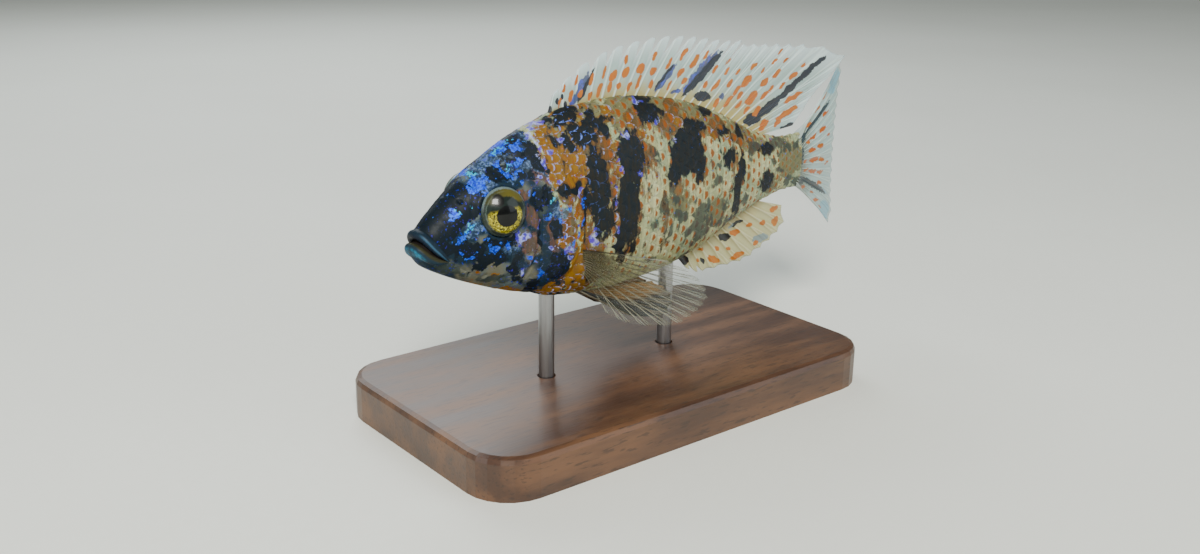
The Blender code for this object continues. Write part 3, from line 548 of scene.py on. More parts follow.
def eyeRadial(points):  # distance from the nearer eye's axis
    right = (points[..., 1] > 0.0)[..., None]
    middle = np.array(headForms["eyeMiddle"]) + right * np.array(headForms["rightEyeShift"])
    axis = np.array(headForms["eyeAxis"])
    axis = axis / np.linalg.norm(axis)
    folded = np.stack((points[..., 0], np.abs(points[..., 1]), points[..., 2]), -1) - middle
    along = folded @ axis
    return np.linalg.norm(folded - along[..., None] * axis, axis=-1), along


def raised(kind, distance):
    height, breadth = headFinish[kind]
    return height * bump(distance, breadth)


def headRelief(points, angle):  # how far the face stands out of the plain body, in mm
    forms, finish = headForms, headFinish
    s, z = points[..., 0], points[..., 2]
    side = ease(0.15, 0.5, np.abs(np.sin(np.radians(angle))))
    radial, _ = eyeRadial(points)
    rim = raised("socketRim", radial - finish["socketRimAt"])
    rim = rim + raised("socketFold", radial - finish["socketFoldAt"])
    pit = -finish["socketDepth"] * (1.0 - ease(*finish["socketWall"], radial))
    relief = (rim + pit) * side
    fromNostril = np.hypot(s - forms["nostril"][0], z - forms["nostril"][1])
    relief = relief + raised("nostrilRim", fromNostril - finish["nostrilRimAt"])
    relief = relief + raised("nostrilHole", fromNostril)
    relief = relief + raised("preopercleGroove", lineDistance(forms["preopercle"], s, z))
    relief = relief + raised("cheekEdge", lineDistance(forms["preopercle"], s + finish["cheekEdgeBehind"], z))
    relief = relief + raised("jawFold", lineDistance(forms["jawFold"], s, z))
    for line in forms["gillRays"]:
        relief = relief + raised("gillRay", lineDistance(line, s, z))
    rimHeight, rimBreadth = finish["poreRim"]
    for poreS, poreZ, size in forms["pores"]:
        away = np.hypot(s - poreS, z - poreZ)
        relief = relief - finish["poreDepth"] * bump(away, finish["poreBreadth"] * size)
        relief = relief + rimHeight * bump(away - size, rimBreadth)
    flapS, flapZ, flapRadius = forms["flap"]
    relief = relief + raised("flapRim", np.hypot(s - flapS, z - flapZ) - flapRadius)
    height, size, seed = finish["unevenness"]
    return relief + height * wobble(s, z, size, seed) * side


def gillRelief(behind, angle):  # the cover's free rim, then the step down to the flank
    forms, away = headForms, np.abs(angle)
    side = np.sin(np.radians(away)) ** 2 * ease(*forms["coverFade"], away)
    side = np.where(away > forms["throatFrom"], np.maximum(side, forms["throatShare"]), side)
    height, before, breadth = forms["gillRim"]
    onCover = behind <= 0.001
    rim = height * bump(np.minimum(behind, 0.0) + before, breadth) * onCover
    under = -forms["gillStep"] * (1.0 - ease(*forms["gillStepFade"], behind)) * ~onCover
    return (rim + under) * side


def newObject(name, mesh):
    obj = bpy.data.objects.new(name, mesh)
    bpy.context.scene.collection.objects.link(obj)
    return obj


def gridPlaces(mesh, columns, rows):  # the column and row of each corner
    flat = np.empty(len(mesh.vertices) * 3)
    mesh.vertices.foreach_get("co", flat)
    flat = flat.reshape(-1, 3) + 0.5
    return np.rint(flat[:, 0] * columns).astype(int), np.rint(flat[:, 1] * rows).astype(int)


def gridMesh(name, columns, rows, uvName):  # a flat grid with a map, which later takes its shape
    bm = bmesh.new()
    layer = bm.loops.layers.uv.new(uvName)
    bmesh.ops.create_grid(bm, x_segments=columns, y_segments=rows, size=0.5)
    for face in bm.faces:
        for loop in face.loops:
            loop[layer].uv = (0.01 + 0.98 * (loop.vert.co.x + 0.5), 0.01 + 0.98 * (loop.vert.co.y + 0.5))
    mesh = bpy.data.meshes.new(name)
    bm.to_mesh(mesh)
    bm.free()
    return mesh, *gridPlaces(mesh, columns, rows)


def setPoints(mesh, points):
    mesh.vertices.foreach_set("co", np.ascontiguousarray(points, np.float32).ravel())
    mesh.update()


def setMarks(mesh, name, values):
    layer = mesh.attributes.new(name, "FLOAT_COLOR", "POINT")
    layer.data.foreach_set("color", np.ascontiguousarray(values, np.float32).ravel())


def setMap(mesh, name, u, v):
    layer = mesh.uv_layers.new(name=name)
    layer.data.foreach_set("uv", np.stack((u, v), -1).astype(np.float32).ravel())


def mergeAndFace(mesh):
    bm = bmesh.new()
    bm.from_mesh(mesh)
    bmesh.ops.remove_doubles(bm, verts=bm.verts, dist=skinPlan["merge"] * mm)
    openEdges = [edge for edge in bm.edges if edge.is_boundary]
    if openEdges:
        bmesh.ops.holes_fill(bm, edges=openEdges)
    bmesh.ops.recalc_face_normals(bm, faces=bm.faces)
    bm.to_mesh(mesh)
    bm.free()
    mesh.shade_smooth()


def setAllMarks(mesh, values):
    for name, field in values.items():
        setMarks(mesh, name, field.reshape(-1, 4))


def makeSkin():
    plan = skinPlan
    columns, headRows, bodyRows = plan["columns"], plan["headRows"], plan["bodyRows"]
    u = np.linspace(-0.5, 0.5, columns + 1)
    rowFlat = lipRings(u, plan["lipSteps"], plan["chinSteps"])
    rowPoints = [bend(ring) for ring in rowFlat]
    for k in range(headRows + bodyRows + 1):
        t = min(k / headRows, 1.0)
        spread = ease(0.0, 0.5, t)
        angle = mouthAngle(u) * (1.0 - spread) + 360.0 * u * spread
        gill = curve(headForms["gillEdge"], np.abs(angle))
        start = curve(headForms["lipBase"], np.abs(angle))
        if k <= headRows:
            s = start + (gill - start) * t
        else:
            share = (k - headRows) / bodyRows
            s = gill + 0.1 + (body["tailEnd"] - gill - 0.1) * (0.35 * share**2 + 0.65 * share)
        flat = surface(s, angle)
        behind = s - gill
        face = headRelief(flat, angle) * ease(0.5, 2.5, s - start)
        rowPoints.append(onBody(s, angle, coatOffset(behind) + face + gillRelief(behind, angle)))
        rowFlat.append(flat)
    points, flat = np.array(rowPoints), np.array(rowFlat)
    mesh, column, row = gridMesh("skin", columns, len(rowPoints) - 1, "OFBake")
    setPoints(mesh, points[row, column])
    spot = flat[row, column]
    fields = bodyMarks(spot[:, 0], spot[:, 2], spot[:, 1] <= 0.0)
    onLip = 1.0 - ease(0.0, 1.0, (row - plan["lipSteps"]) / 5.0)
    aboveCorner = headForms["mouthCornerAt"] - np.abs(u[column])
    fields["lips"] = np.stack((onLip, 0.5 - 2.0 * aboveCorner, row / plan["lipSteps"], 0.0 * onLip), -1)
    setAllMarks(mesh, fields)
    mergeAndFace(mesh)
    return newObject("skin", mesh)


print("body shape ready")

coat = {
    "across": 6,  # faces over one scale
    "along": 5,
    "from": 18.5,
    "to": 98.6,
    "rowsEachWay": 14,
    "angles": (1.0, 176.0),  # degrees from the back between which scales grow
    "angleEnds": (0.4, 179.6),  # and which no corner of a scale passes
    "size": ((18.0, 1.05), (26.0, 1.5), (34.0, 1.95), (42.0, 2.15), (60.0, 2.1), (80.0, 1.8), (99.5, 1.3)),
    "rowHeight": 1.12,  # of the scale's spacing along the body
    "overlap": 1.5,
    "breadth": 1.16,
    "thickness": 0.05,
    "sharpFrom": 60.0,  # degrees between faces
    "lift": 0.21,
    "crown": 0.08,
    "rootSunk": 0.02,
    "jitter": 0.04,
    "headFlatness": 0.3,
    "headThickness": 0.6,
    "coverBare": 1.9,  # no scales start so many sizes in front of the gill cover's edge
    "coverGap": 0.1,  # nor so many mm behind it
    "napeTo": 30.0,  # degrees from the back: nearer the back the head is scaled all over
    "eyeBare": 5.9,
    "cheekTop": (9.5, 0.1, 22.0),  # bare above this line, which climbs backwards, up to here
    "throatBare": (-11.0, 26.0),
    "grooveBare": 0.75,
    "plateShape": (0.72, 0.28),  # how far its corners reach, and how much further its middle
    "plateBulge": (0.85, 0.12),
    "sizeLift": (0.55, 0.45, 2.0),  # the smallest scales' share of the lift, the rest, and full size
    "liftChance": (0.85, 0.3),
    "markShare": (0.3, 0.1),  # how far a scale has one colour all over: flank, head
    "markAt": 0.75,  # where along the scale that colour is taken
    "patch": 0.003,  # a scale's length on the bake map
    "mapStart": (0.02, 15.0),  # on the bake map, and on the fish
    "mapSize": (87.0, 62.0),  # length and height of skin over the map
    "mapFill": 0.95,
    "mapUnderneath": 1.3,  # patches between a scale's top and its underside
    "seed": 11,
}


def arcTable():
    s = np.arange(10.0, 104.0, 1.0)
    angle = np.arange(0.0, 180.1, 1.5)
    points = bend(surface(np.minimum(s, 100.0)[:, None], angle[None, :])) / mm
    length = np.concatenate(
        (np.zeros((len(s), 1)), np.cumsum(np.linalg.norm(np.diff(points, axis=1), axis=-1), axis=1)), axis=1
    )
    return s, angle, length


arcS, arcAngles, arcLengths = arcTable()


def angleAtArc(s, up):  # up is the length over the skin from the widest line towards the back
    low = np.clip(np.floor(s - arcS[0]).astype(int), 0, len(arcS) - 2)
    share = np.clip(s - arcS[low], 0.0, 1.0)
    found = []
    for index in (low, low + 1):
        widest = arcLengths[index, np.searchsorted(arcAngles, 90.0)]
        wanted = widest - up
        angle = np.empty(len(s))
        for k in np.unique(index):
            here = index == k
            angle[here] = np.interp(wanted[here], arcLengths[k], arcAngles)
            angle[here] += np.minimum(wanted[here], 0.0) * 4.0
            angle[here] += np.maximum(wanted[here] - arcLengths[k, -1], 0.0) * 4.0
        found.append(angle)
    return found[0] * (1.0 - share) + found[1] * share


def plateTemplate():  # one scale: a closed plate, its corners at across -0.5..0.5, along 0..1, top 1 or 0
    bm = bmesh.new()
    bmesh.ops.create_grid(bm, x_segments=coat["across"], y_segments=coat["along"], size=0.5)
    extruded = bmesh.ops.extrude_face_region(bm, geom=bm.faces[:], use_keep_orig=True)
    lower = {item for item in extruded["geom"] if isinstance(item, bmesh.types.BMVert)}
    for vert in bm.verts:
        vert.co.z = 0.0 if vert in lower else 1.0
    bmesh.ops.recalc_face_normals(bm, faces=bm.faces)
    bmesh.ops.triangulate(bm, faces=bm.faces)
    bm.verts.index_update()
    corners = np.array([vert.co[:] for vert in bm.verts])
    faces = np.array([[vert.index for vert in face.verts] for face in bm.faces])
    bm.free()
    return corners, faces


def isBare(flat, s, size):  # the parts of the head without scales
    radial, _ = eyeRadial(flat)
    top, climb, topEnd = coat["cheekTop"]
    low, lowEnd = coat["throatBare"]
    if radial < coat["eyeBare"] or flat[2] > top + climb * s and s < topEnd or flat[2] < low and s < lowEnd:
        return True
    return float(lineDistance(headForms["preopercle"], flat[0] + 0.5 * size, flat[2])) < coat["grooveBare"]


def scalePlaces(left):  # where each scale grows, a column for each of its values
    random = np.random.default_rng(coat["seed"] + (1 if left else 2))
    places = []
    s, column = coat["from"], 0
    nearBack, nearBelly = coat["angles"]
    while s < coat["to"]:
        size = float(curve(coat["size"], s))
        height = size * coat["rowHeight"]
        for row in range(-coat["rowsEachWay"], coat["rowsEachWay"] + 1):
            up = (row + 0.5 * (column % 2)) * height
            angle = float(angleAtArc(np.array([s]), np.array([up]))[0])
            if not nearBack < angle < nearBelly:
                continue
            behind = s - float(curve(headForms["gillEdge"], angle))
            if -coat["coverBare"] * size < behind < coat["coverGap"] and angle > headForms["coverTop"]:
                continue
            onHead = behind < 0.0
            if onHead and angle > coat["napeTo"] and isBare(surface(s, angle), s, size):
                continue
            places.append((s, up, size, height, onHead, random.random()))
        s += size
        column += 1
    plates = dict(zip(("s", "up", "size", "height", "onHead", "luck"), np.array(places).T[..., None]))
    plates["onHead"] = plates["onHead"] > 0.5
    return plates


def plateOutline(across, along):  # how far back each corner of a plate reaches, and how far to the side
    corner, more = coat["plateShape"]
    rise, start = coat["plateBulge"]
    rearRound = np.sqrt(np.clip(1.0 - (2.0 * across) ** 2, 0.0, 1.0))
    reach = along * (corner + more * rearRound)
    return reach, across * (corner + more * np.sin(np.pi * np.clip(along * rise + start, 0.0, 1.0)))


def plateLift(across, reach, top, plates):  # how far each corner stands off the skin
    onHead = plates["onHead"]
    least, gain, fullSize = coat["sizeLift"]
    usual, chance = coat["liftChance"]
    flatness = np.where(onHead, coat["headFlatness"], 1.0)
    flatness = flatness * (least + gain * np.clip(plates["size"] / fullSize, 0.0, 1.0))
    lift = coat["lift"] * reach * (usual + chance * plates["luck"]) - coat["crown"] * (2.0 * across) ** 2
    thickness = top * coat["thickness"] * np.where(onHead, coat["headThickness"], 1.0)
    return (lift - coat["rootSunk"]) * flatness + thickness


def stampPlates(name, points, faces):  # one mesh of many copies of the same few triangles
    mesh = bpy.data.meshes.new(name)
    mesh.vertices.add(len(points))
    mesh.loops.add(faces.size)
    mesh.polygons.add(len(faces))
    mesh.vertices.foreach_set("co", points.astype(np.float32).ravel())
    mesh.loops.foreach_set("vertex_index", faces.astype(np.int32).ravel())
    mesh.polygons.foreach_set("loop_start", np.arange(0, faces.size, 3, dtype=np.int32))
    mesh.update(calc_edges=True)
    return mesh


def mapPlates(mesh, corners, faces, allFaces, plates):  # a patch for each scale, laid out as on the fish
    scale, local = np.divmod(allFaces.ravel(), len(corners))
    across, along = corners[local, 0], corners[local, 1] + 0.5
    patch, fill = coat["patch"], coat["mapFill"]
    (edge, first), (length, height) = coat["mapStart"], coat["mapSize"]
    faceTop = np.repeat(corners[faces, 2].mean(1) > 0.99, 3)
    underneath = np.where(np.tile(faceTop, len(plates["s"])), 0.0, coat["mapUnderneath"] * patch)
    bakeU = edge + fill * (plates["s"][scale, 0] - first) / length + patch * (along - 0.5)
    bakeV = 0.5 + fill * plates["up"][scale, 0] / height + patch * across + underneath
    setMap(mesh, "OFBake", bakeU, bakeV)
    setMap(mesh, "plate", across + 0.5, along)


def markPlates(mesh, flat, plates, left):  # partly the marks at each corner, partly one colour for the scale
    markAt = coat["markAt"] * plates["size"]
    angle = angleAtArc((plates["s"] + markAt).ravel(), plates["up"].ravel())[:, None]
    whole = surface(plates["s"] + markAt * coat["overlap"], -angle if left else angle)
    isLeft = np.full(flat.shape[:2], left)
    own, shared = (
        bodyMarks(spot[..., 0], spot[..., 2], isLeft) for spot in (flat, np.broadcast_to(whole, flat.shape))
    )
    onFlank, onFace = coat["markShare"]
    mixed = np.where(plates["onHead"], onFace, onFlank)[..., None]
    fields = {name: own[name] * (1.0 - mixed) + shared[name] * mixed for name in own}
    fields["chance"] = np.broadcast_to(plates["luck"][..., None], (*isLeft.shape, 4))
    setAllMarks(mesh, fields)


def makeScales(name, left):
    corners, faces = plateTemplate()
    across, along, top = corners[:, 0], corners[:, 1] + 0.5, corners[:, 2]
    reach, spread = plateOutline(across, along)
    plates = scalePlaces(left)
    s = plates["s"] + reach * plates["size"] * coat["overlap"]
    up = plates["up"] + spread * plates["height"] * coat["breadth"] + coat["jitter"] * (plates["luck"] - 0.5)
    angle = np.clip(angleAtArc(s.ravel(), up.ravel()).reshape(s.shape), *coat["angleEnds"])
    behind = s - curve(headForms["gillEdge"], angle)
    sign = -1.0 if left else 1.0
    flat = surface(s, sign * angle)
    relief = np.where(plates["onHead"], headRelief(flat, angle), gillRelief(np.maximum(behind, 0.01), angle))
    out = coatOffset(behind) + relief + plateLift(across, reach, top, plates)
    points = onBody(s, sign * angle, out)
    count, each = s.shape
    allFaces = (faces[None] + (np.arange(count) * each)[:, None, None]).reshape(-1, 3)
    if not left:
        allFaces = allFaces[:, ::-1]
    mesh = stampPlates(name, points.reshape(-1, 3), allFaces)
    mapPlates(mesh, corners, faces, allFaces, plates)
    markPlates(mesh, flat, plates, left)
    mesh.shade_smooth()
    mesh.set_sharp_from_angle(angle=math.radians(coat["sharpFrom"]))
    print(name, count, "scales,", len(allFaces), "triangles")
    return newObject(name, mesh)


finShapes = {
    "dorsal": {
        "rays": 26, "spines": 15, "saw": 0.05, "perRay": 14, "rows": 54, "slot": "fin",
        "roots": ((0, 31.6), (5, 46.3), (10, 59.0), (15, 70.0), (25, 87.0)),
        "tipsBack": (
            (0, 32.6), (1, 34.8), (2, 38.2), (3, 42.8), (4, 46.6), (8, 61.8), (12, 74.6), (15, 83.5),
            (18, 94.0), (19.6, 101.5), (21, 113.0), (22, 108.5), (23, 103.0), (24, 99.6), (25, 96.3),
        ),
        "tipsUp": (
            (0, 20.9), (1, 22.6), (2, 24.8), (3, 26.6), (4, 27.7), (7, 28.8), (10, 27.8), (12, 26.8),
            (15, 26.2), (18, 25.4), (19.6, 24.6), (21, 21.2), (22, 17.6), (23, 14.2), (24, 10.9),
            (25, 7.9),
        ),
        "tailShare": 0.25,
    },
    "anal": {
        "rays": 12, "spines": 3, "saw": 0.05, "perRay": 16, "rows": 40, "slot": "fin",
        "roots": ((0, 63.9), (3, 69.5), (11, 86.4)),
        "tipsBack": ((0, 66.4), (2, 71.2), (5, 82.0), (7, 88.2), (9, 93.6), (10, 95.8), (11, 94.6)),
        "tipsDown": ((0, 18.1), (2, 19.7), (5, 19.6), (7, 17.7), (9, 15.2), (10, 13.3), (11, 9.4)),
    },
    "caudal": {
        "rays": 16, "spines": 0, "saw": 0.02, "perRay": 18, "rows": 54, "slot": "fin",
        "rootThick": 1.6, "rootHeight": 5.4, "tipHeight": 18.8,
        "length": ((0.0, 119.4), (0.6, 120.2), (0.9, 121.6), (1.0, 119.5)),
    },
    "pectoral": {
        "rays": 13, "spines": 0, "saw": 0.03, "perRay": 24, "rows": 48, "slot": "clear_fin",
        "thin": 0.5, "rootTop": (34.9, -7.0), "rootLow": (35.6, -12.0),
        "out": ((0, 14.0), (4, 15.0), (8, 12.0), (10, 8.0), (12, 0.0)),
        "down": ((0, 13.0), (4, 23.0), (8, 34.0), (10, 44.0), (12, 60.0)),
        "length": ((0, 17.0), (2, 25.0), (4, 28.0), (8, 25.5), (10, 19.5), (12, 10.0)),
        "farFold": -6.0, "farLift": 0.6,
    },
    "pelvic": {
        "rays": 6, "spines": 1, "saw": 0.03, "perRay": 16, "rows": 36, "slot": "dark_fin",
        "roots": ((0, 36.8), (5, 40.6)),
        "rootAngle": ((0, 163.0), (5, 170.0)),
        "out": ((0, 14.0), (1, 7.0), (5, 1.0)),
        "down": ((0, 31.0), (1, 21.5), (5, 4.0)),
        "length": ((0, 12.0), (1, 21.5), (2, 22.0), (3, 21.0), (5, 15.0)),
    },
}
finBuild = {
    "rootSunk": 0.9, "membraneRoot": 0.34, "membraneEdge": 0.1, "rayRoot": 0.82, "rayEnd": 0.26,
    "lappetRise": 0.06, "lappetSpan": 0.62, "lappetDrop": 0.25, "dropAt": (0.5, 0.68),
    "sag": 0.1, "rayBreadth": 0.13, "forks": (0.17, 0.08), "edgeThin": 0.6, "seat": 0.2,
}


def finEdge(q, spines, saw):  # lobes behind the spines, a fine saw over the soft rays
    ray = np.floor(q + 1e-6)
    beside = q - ray
    begin, lowest = finBuild["dropAt"]
    lobe = np.sin(np.pi * np.clip(beside / finBuild["lappetSpan"], 0.0, 1.0))
    lobe = 1.0 + finBuild["lappetRise"] * lobe
    notch = 1.0 - finBuild["lappetDrop"] * ease(begin, lowest, beside) * (1.0 - ease(lowest, 1.0, beside))
    return np.where(ray < spines - 1, lobe * notch, 1.0 - saw * np.abs(np.sin(np.pi * q)))


def sunkLerp(root, tip, v, sunk):
    towards = tip - root
    length = np.linalg.norm(towards, axis=-1, keepdims=True)
    return root - towards / length * sunk + (towards + towards / length * sunk) * v[..., None]


def middlePlane(shape, q, v, root, tip, tailShare=1.0):  # root and tip say how far behind the snout, how high
    root, tip = (np.stack((s, 0.0 * s, z), -1) for s, z in (root, tip))
    tip = root + (tip - root) * finEdge(q, shape["spines"], shape["saw"])[..., None]
    flat = sunkLerp(root, tip, v, finBuild["rootSunk"])
    return bend(flat, tailShare), flat


def dorsalPlace(q, v):
    shape = finShapes["dorsal"]
    s = curve(shape["roots"], q)
    root = (s, curve(body["back"], s) - finBuild["seat"])
    tip = (curve(shape["tipsBack"], q), curve(shape["tipsUp"], q))
    return middlePlane(shape, q, v, root, tip, shape["tailShare"])


def analPlace(q, v):
    shape = finShapes["anal"]
    s = curve(shape["roots"], q)
    root = (s, curve(body["belly"], s) + finBuild["seat"])
    tip = (curve(shape["tipsBack"], q), -curve(shape["tipsDown"], q))
    return middlePlane(shape, q, v, root, tip)


def caudalPlace(q, v):
    shape = finShapes["caudal"]
    height = 2.0 * q / (shape["rays"] - 1) - 1.0
    root = (np.full(q.shape, body["tailEnd"] - 0.3), shape["rootHeight"] * height)
    tip = (curve(shape["length"], np.abs(height)), shape["tipHeight"] * height)
    return middlePlane(shape, q, v, root, tip)


def rayDirection(out, down):
    out, down = np.radians(out), np.radians(down)
    return np.stack((np.cos(out) * np.cos(down), -np.sin(out) * np.cos(down), -np.sin(down)), -1)


def pairedPlace(shape, root, direction, q, v, side):
    reach = curve(shape["length"], q) * finEdge(q, 0, shape["saw"])
    flat = root + direction * (v * (reach + finBuild["rootSunk"]) - finBuild["rootSunk"])[..., None]
    flat = flat * np.array((1.0, -side, 1.0))
    return bend(flat), flat


def pectoralPlace(side):
    shape = finShapes["pectoral"]

    def place(q, v):
        share = q / (shape["rays"] - 1)
        (topS, topZ), (lowS, lowZ) = shape["rootTop"], shape["rootLow"]
        rootS = topS + (lowS - topS) * share
        rootZ = topZ + (lowZ - topZ) * share
        low, middle = curve(body["belly"], rootS), bodyMiddle(rootS)
        angle = np.degrees(np.arccos(np.clip((rootZ - middle) / (middle - low), -1.0, 0.0)))
        root = surface(rootS, -angle) + np.array((0.0, 0.25, 0.0))
        fold, lift = (shape["farFold"], shape["farLift"]) if side > 0 else (0.0, 1.0)
        direction = rayDirection(curve(shape["out"], q) + fold, curve(shape["down"], q) * lift)
        return pairedPlace(shape, root, direction, q, v, side)

    return place


def pelvicPlace(side):
    shape = finShapes["pelvic"]

    def place(q, v):
        root = surface(curve(shape["roots"], q), -curve(shape["rootAngle"], q))
        direction = rayDirection(curve(shape["out"], q), curve(shape["down"], q))
        return pairedPlace(shape, root, direction, q, v, side)

    return place


# Marks on the fins, as on the body: behind the snout, up, half length, half height, tilt
finMarks = {
    "dorsal": {
        "lean": ((32.0, 64.0), (46.0, 60.0), (60.0, 50.0), (75.0, 38.0), (95.0, 26.0)),
        "dark": (
            (31.6, 18.4, 0.6, 1.2, 0), (33.2, 19.6, 0.4, 0.6, 0), (34.6, 20.2, 0.4, 0.5, 0),
            (35.2, 18.6, 0.5, 0.6, 0), (39.9, 21.6, 3.6, 0.5, 56), (69.4, 21.6, 6.4, 0.85, 38),
            (66.4, 19.8, 4.0, 0.45, 40), (58.8, 21.6, 3.4, 0.35, 42), (69.2, 16.9, 2.4, 1.0, -8),
            (83.6, 10.8, 2.6, 1.3, 4), (88.4, 12.8, 3.8, 1.15, 26), (94.4, 16.0, 3.8, 0.95, 30),
            (99.8, 19.0, 3.6, 0.85, 30), (104.0, 21.0, 2.2, 0.6, 24), (94.4, 8.0, 2.4, 0.5, 10),
        ),
        "blue": (
            (38.8, 21.4, 3.4, 0.9, 56), (59.2, 21.4, 3.8, 0.8, 42), (68.6, 21.8, 6.0, 1.3, 39),
            (74.4, 16.4, 0.9, 0.6, 0), (62.0, 18.6, 1.4, 0.4, 10), (36.6, 19.0, 0.7, 0.4, 0),
        ),
        "orange": (
            (38.5, 20.4, 0.4, 0.6, 0), (40.9, 19.8, 0.4, 0.6, 0), (41.2, 22.8, 0.4, 0.8, -20),
            (44.2, 23.8, 0.4, 0.8, -20), (33.9, 19.2, 0.3, 0.6, 0), (35.0, 21.8, 0.3, 0.6, -30),
            (37.8, 23.0, 0.3, 0.7, -30), (69.8, 19.2, 0.6, 0.5, 0), (69.9, 25.0, 0.8, 0.3, 30),
            (76.0, 23.2, 0.7, 0.3, 30), (79.6, 16.0, 0.8, 0.5, 10), (91.0, 24.0, 0.7, 0.25, 30),
            (36.4, 20.2, 0.5, 0.8, -20), (43.0, 20.6, 0.5, 1.0, -24), (46.3, 23.0, 0.9, 0.6, 0),
            (45.4, 21.0, 0.5, 0.7, 0), (49.4, 25.7, 0.5, 0.6, 0), (49.3, 23.3, 0.6, 0.9, -20),
            (53.0, 23.8, 0.8, 0.8, 0), (52.5, 21.3, 1.0, 0.4, 14), (47.6, 21.0, 0.5, 0.5, 0),
            (50.2, 20.6, 0.4, 0.8, 0), (56.5, 25.8, 0.7, 0.4, 20), (56.1, 23.0, 0.6, 0.7, 0),
            (55.6, 20.6, 0.5, 0.6, 0), (60.0, 24.0, 0.4, 1.0, -20), (63.9, 25.7, 1.1, 0.4, 30),
            (63.2, 22.1, 0.9, 0.5, 10), (66.8, 23.9, 0.6, 1.3, -8), (60.2, 19.8, 0.8, 0.3, 0),
            (64.2, 20.4, 0.6, 0.5, 0), (72.4, 21.9, 0.8, 0.4, 20), (72.8, 18.8, 1.2, 0.4, 20),
            (76.6, 18.8, 0.8, 0.5, 20), (76.3, 15.1, 1.1, 0.5, 8), (78.6, 17.1, 0.9, 0.5, 16),
            (81.4, 18.8, 1.2, 0.8, 20), (83.0, 15.2, 1.4, 0.9, 26), (83.2, 21.6, 0.8, 0.4, 30),
            (86.6, 18.1, 0.9, 0.7, 20), (86.7, 15.3, 0.9, 0.5, 10), (84.7, 12.3, 1.0, 0.6, 10),
            (88.8, 16.6, 0.7, 0.4, 30), (90.2, 19.5, 1.0, 0.5, 30), (92.0, 16.8, 0.8, 0.4, 20),
            (95.4, 18.6, 1.1, 0.5, 20), (92.8, 22.0, 0.8, 0.3, 26), (89.4, 22.1, 0.7, 0.3, 30),
            (79.4, 14.2, 0.8, 0.4, 0), (81.8, 12.9, 0.8, 0.4, 0), (73.0, 15.2, 0.8, 0.5, -20),
            (75.6, 21.2, 0.7, 0.3, 30), (95.6, 14.0, 3.2, 0.6, 16), (94.0, 10.9, 3.6, 0.7, 18),
            (86.9, 9.2, 1.1, 0.8, 0), (96.2, 7.2, 1.0, 0.4, 20), (98.6, 20.6, 0.7, 0.3, 30),
            (78.8, 21.0, 0.6, 0.3, 30), (86.0, 20.6, 0.6, 0.3, 30), (91.2, 9.0, 0.8, 0.5, 0),
        ),
    },
    "anal": {
        "dark": (
            (65.4, -16.2, 1.9, 1.0, -24), (77.0, -13.4, 1.9, 0.9, -10), (80.6, -10.9, 1.7, 0.45, 14),
            (71.2, -17.6, 1.0, 0.4, -50),
        ),
        "blue": ((79.4, -11.2, 1.6, 0.4, 14), (88.0, -15.6, 2.6, 1.0, 0)),
        "orange": (
            (80.0, -12.9, 1.6, 0.7, -8), (84.3, -12.0, 1.0, 0.5, 0), (74.2, -17.8, 2.2, 0.7, -26),
            (81.2, -18.2, 2.2, 0.7, 8), (75.0, -15.5, 0.9, 0.5, -30), (70.3, -14.8, 0.7, 0.4, 0),
            (92.0, -9.8, 1.5, 0.7, 0), (92.6, -12.6, 1.0, 1.2, 0), (88.4, -12.2, 0.8, 0.7, 0),
            (69.6, -17.0, 0.7, 0.4, -40), (86.6, -16.4, 0.9, 0.6, 0), (78.2, -16.0, 0.8, 0.4, -10),
        ),
    },
    "caudal": {
        "dark": (
            (108.0, -7.4, 9.0, 0.7, -24), (107.0, 7.6, 8.0, 0.6, 24), (101.0, -5.2, 1.6, 0.8, -10),
            (100.6, 4.6, 1.6, 0.9, 10), (100.4, 0.4, 1.4, 2.6, 0),
        ),
        "blue": ((116.0, -14.8, 4.0, 2.2, -28), (116.6, 14.6, 4.0, 2.2, 28), (113.0, -9.4, 5.0, 0.5, -24)),
        "orange": (
            (105.8, 1.0, 1.7, 0.5, 0), (110.4, 1.1, 1.6, 0.6, 0), (107.4, -1.4, 2.6, 0.6, -3),
            (111.6, -2.2, 1.6, 0.5, -8), (103.0, -1.0, 0.8, 0.4, 0), (107.0, -4.0, 2.2, 0.5, -10),
            (111.2, -5.0, 1.8, 0.5, -10), (103.4, -3.0, 0.9, 0.4, 0), (111.0, -7.4, 2.0, 0.4, -12),
            (102.4, -6.6, 1.0, 0.5, -14), (104.6, -9.7, 1.5, 0.4, -20), (108.0, -12.8, 1.8, 0.5, -22),
            (109.8, -11.2, 1.8, 0.4, -16), (112.6, -13.4, 1.2, 0.3, -24), (101.4, -8.6, 1.2, 0.5, -40),
            (106.8, -8.6, 1.0, 0.3, -20), (106.0, 4.0, 2.0, 0.5, 10), (111.0, 4.8, 1.8, 0.5, 12),
            (103.6, 3.2, 0.9, 0.4, 0), (103.0, 7.0, 1.3, 0.4, 20), (107.2, 9.8, 1.7, 0.4, 22),
            (110.8, 12.2, 1.8, 0.5, 24), (104.4, 10.4, 1.1, 0.4, 40), (112.0, 8.2, 1.8, 0.4, 14),
            (115.2, 2.8, 1.2, 0.4, 0), (115.0, -3.6, 1.2, 0.4, 0),
        ),
    },
}


spotPlan = {"waves": (0.22, 0.6), "small": 1.5, "stretch": (1.45, 1.15), "softEdge": 0.9}


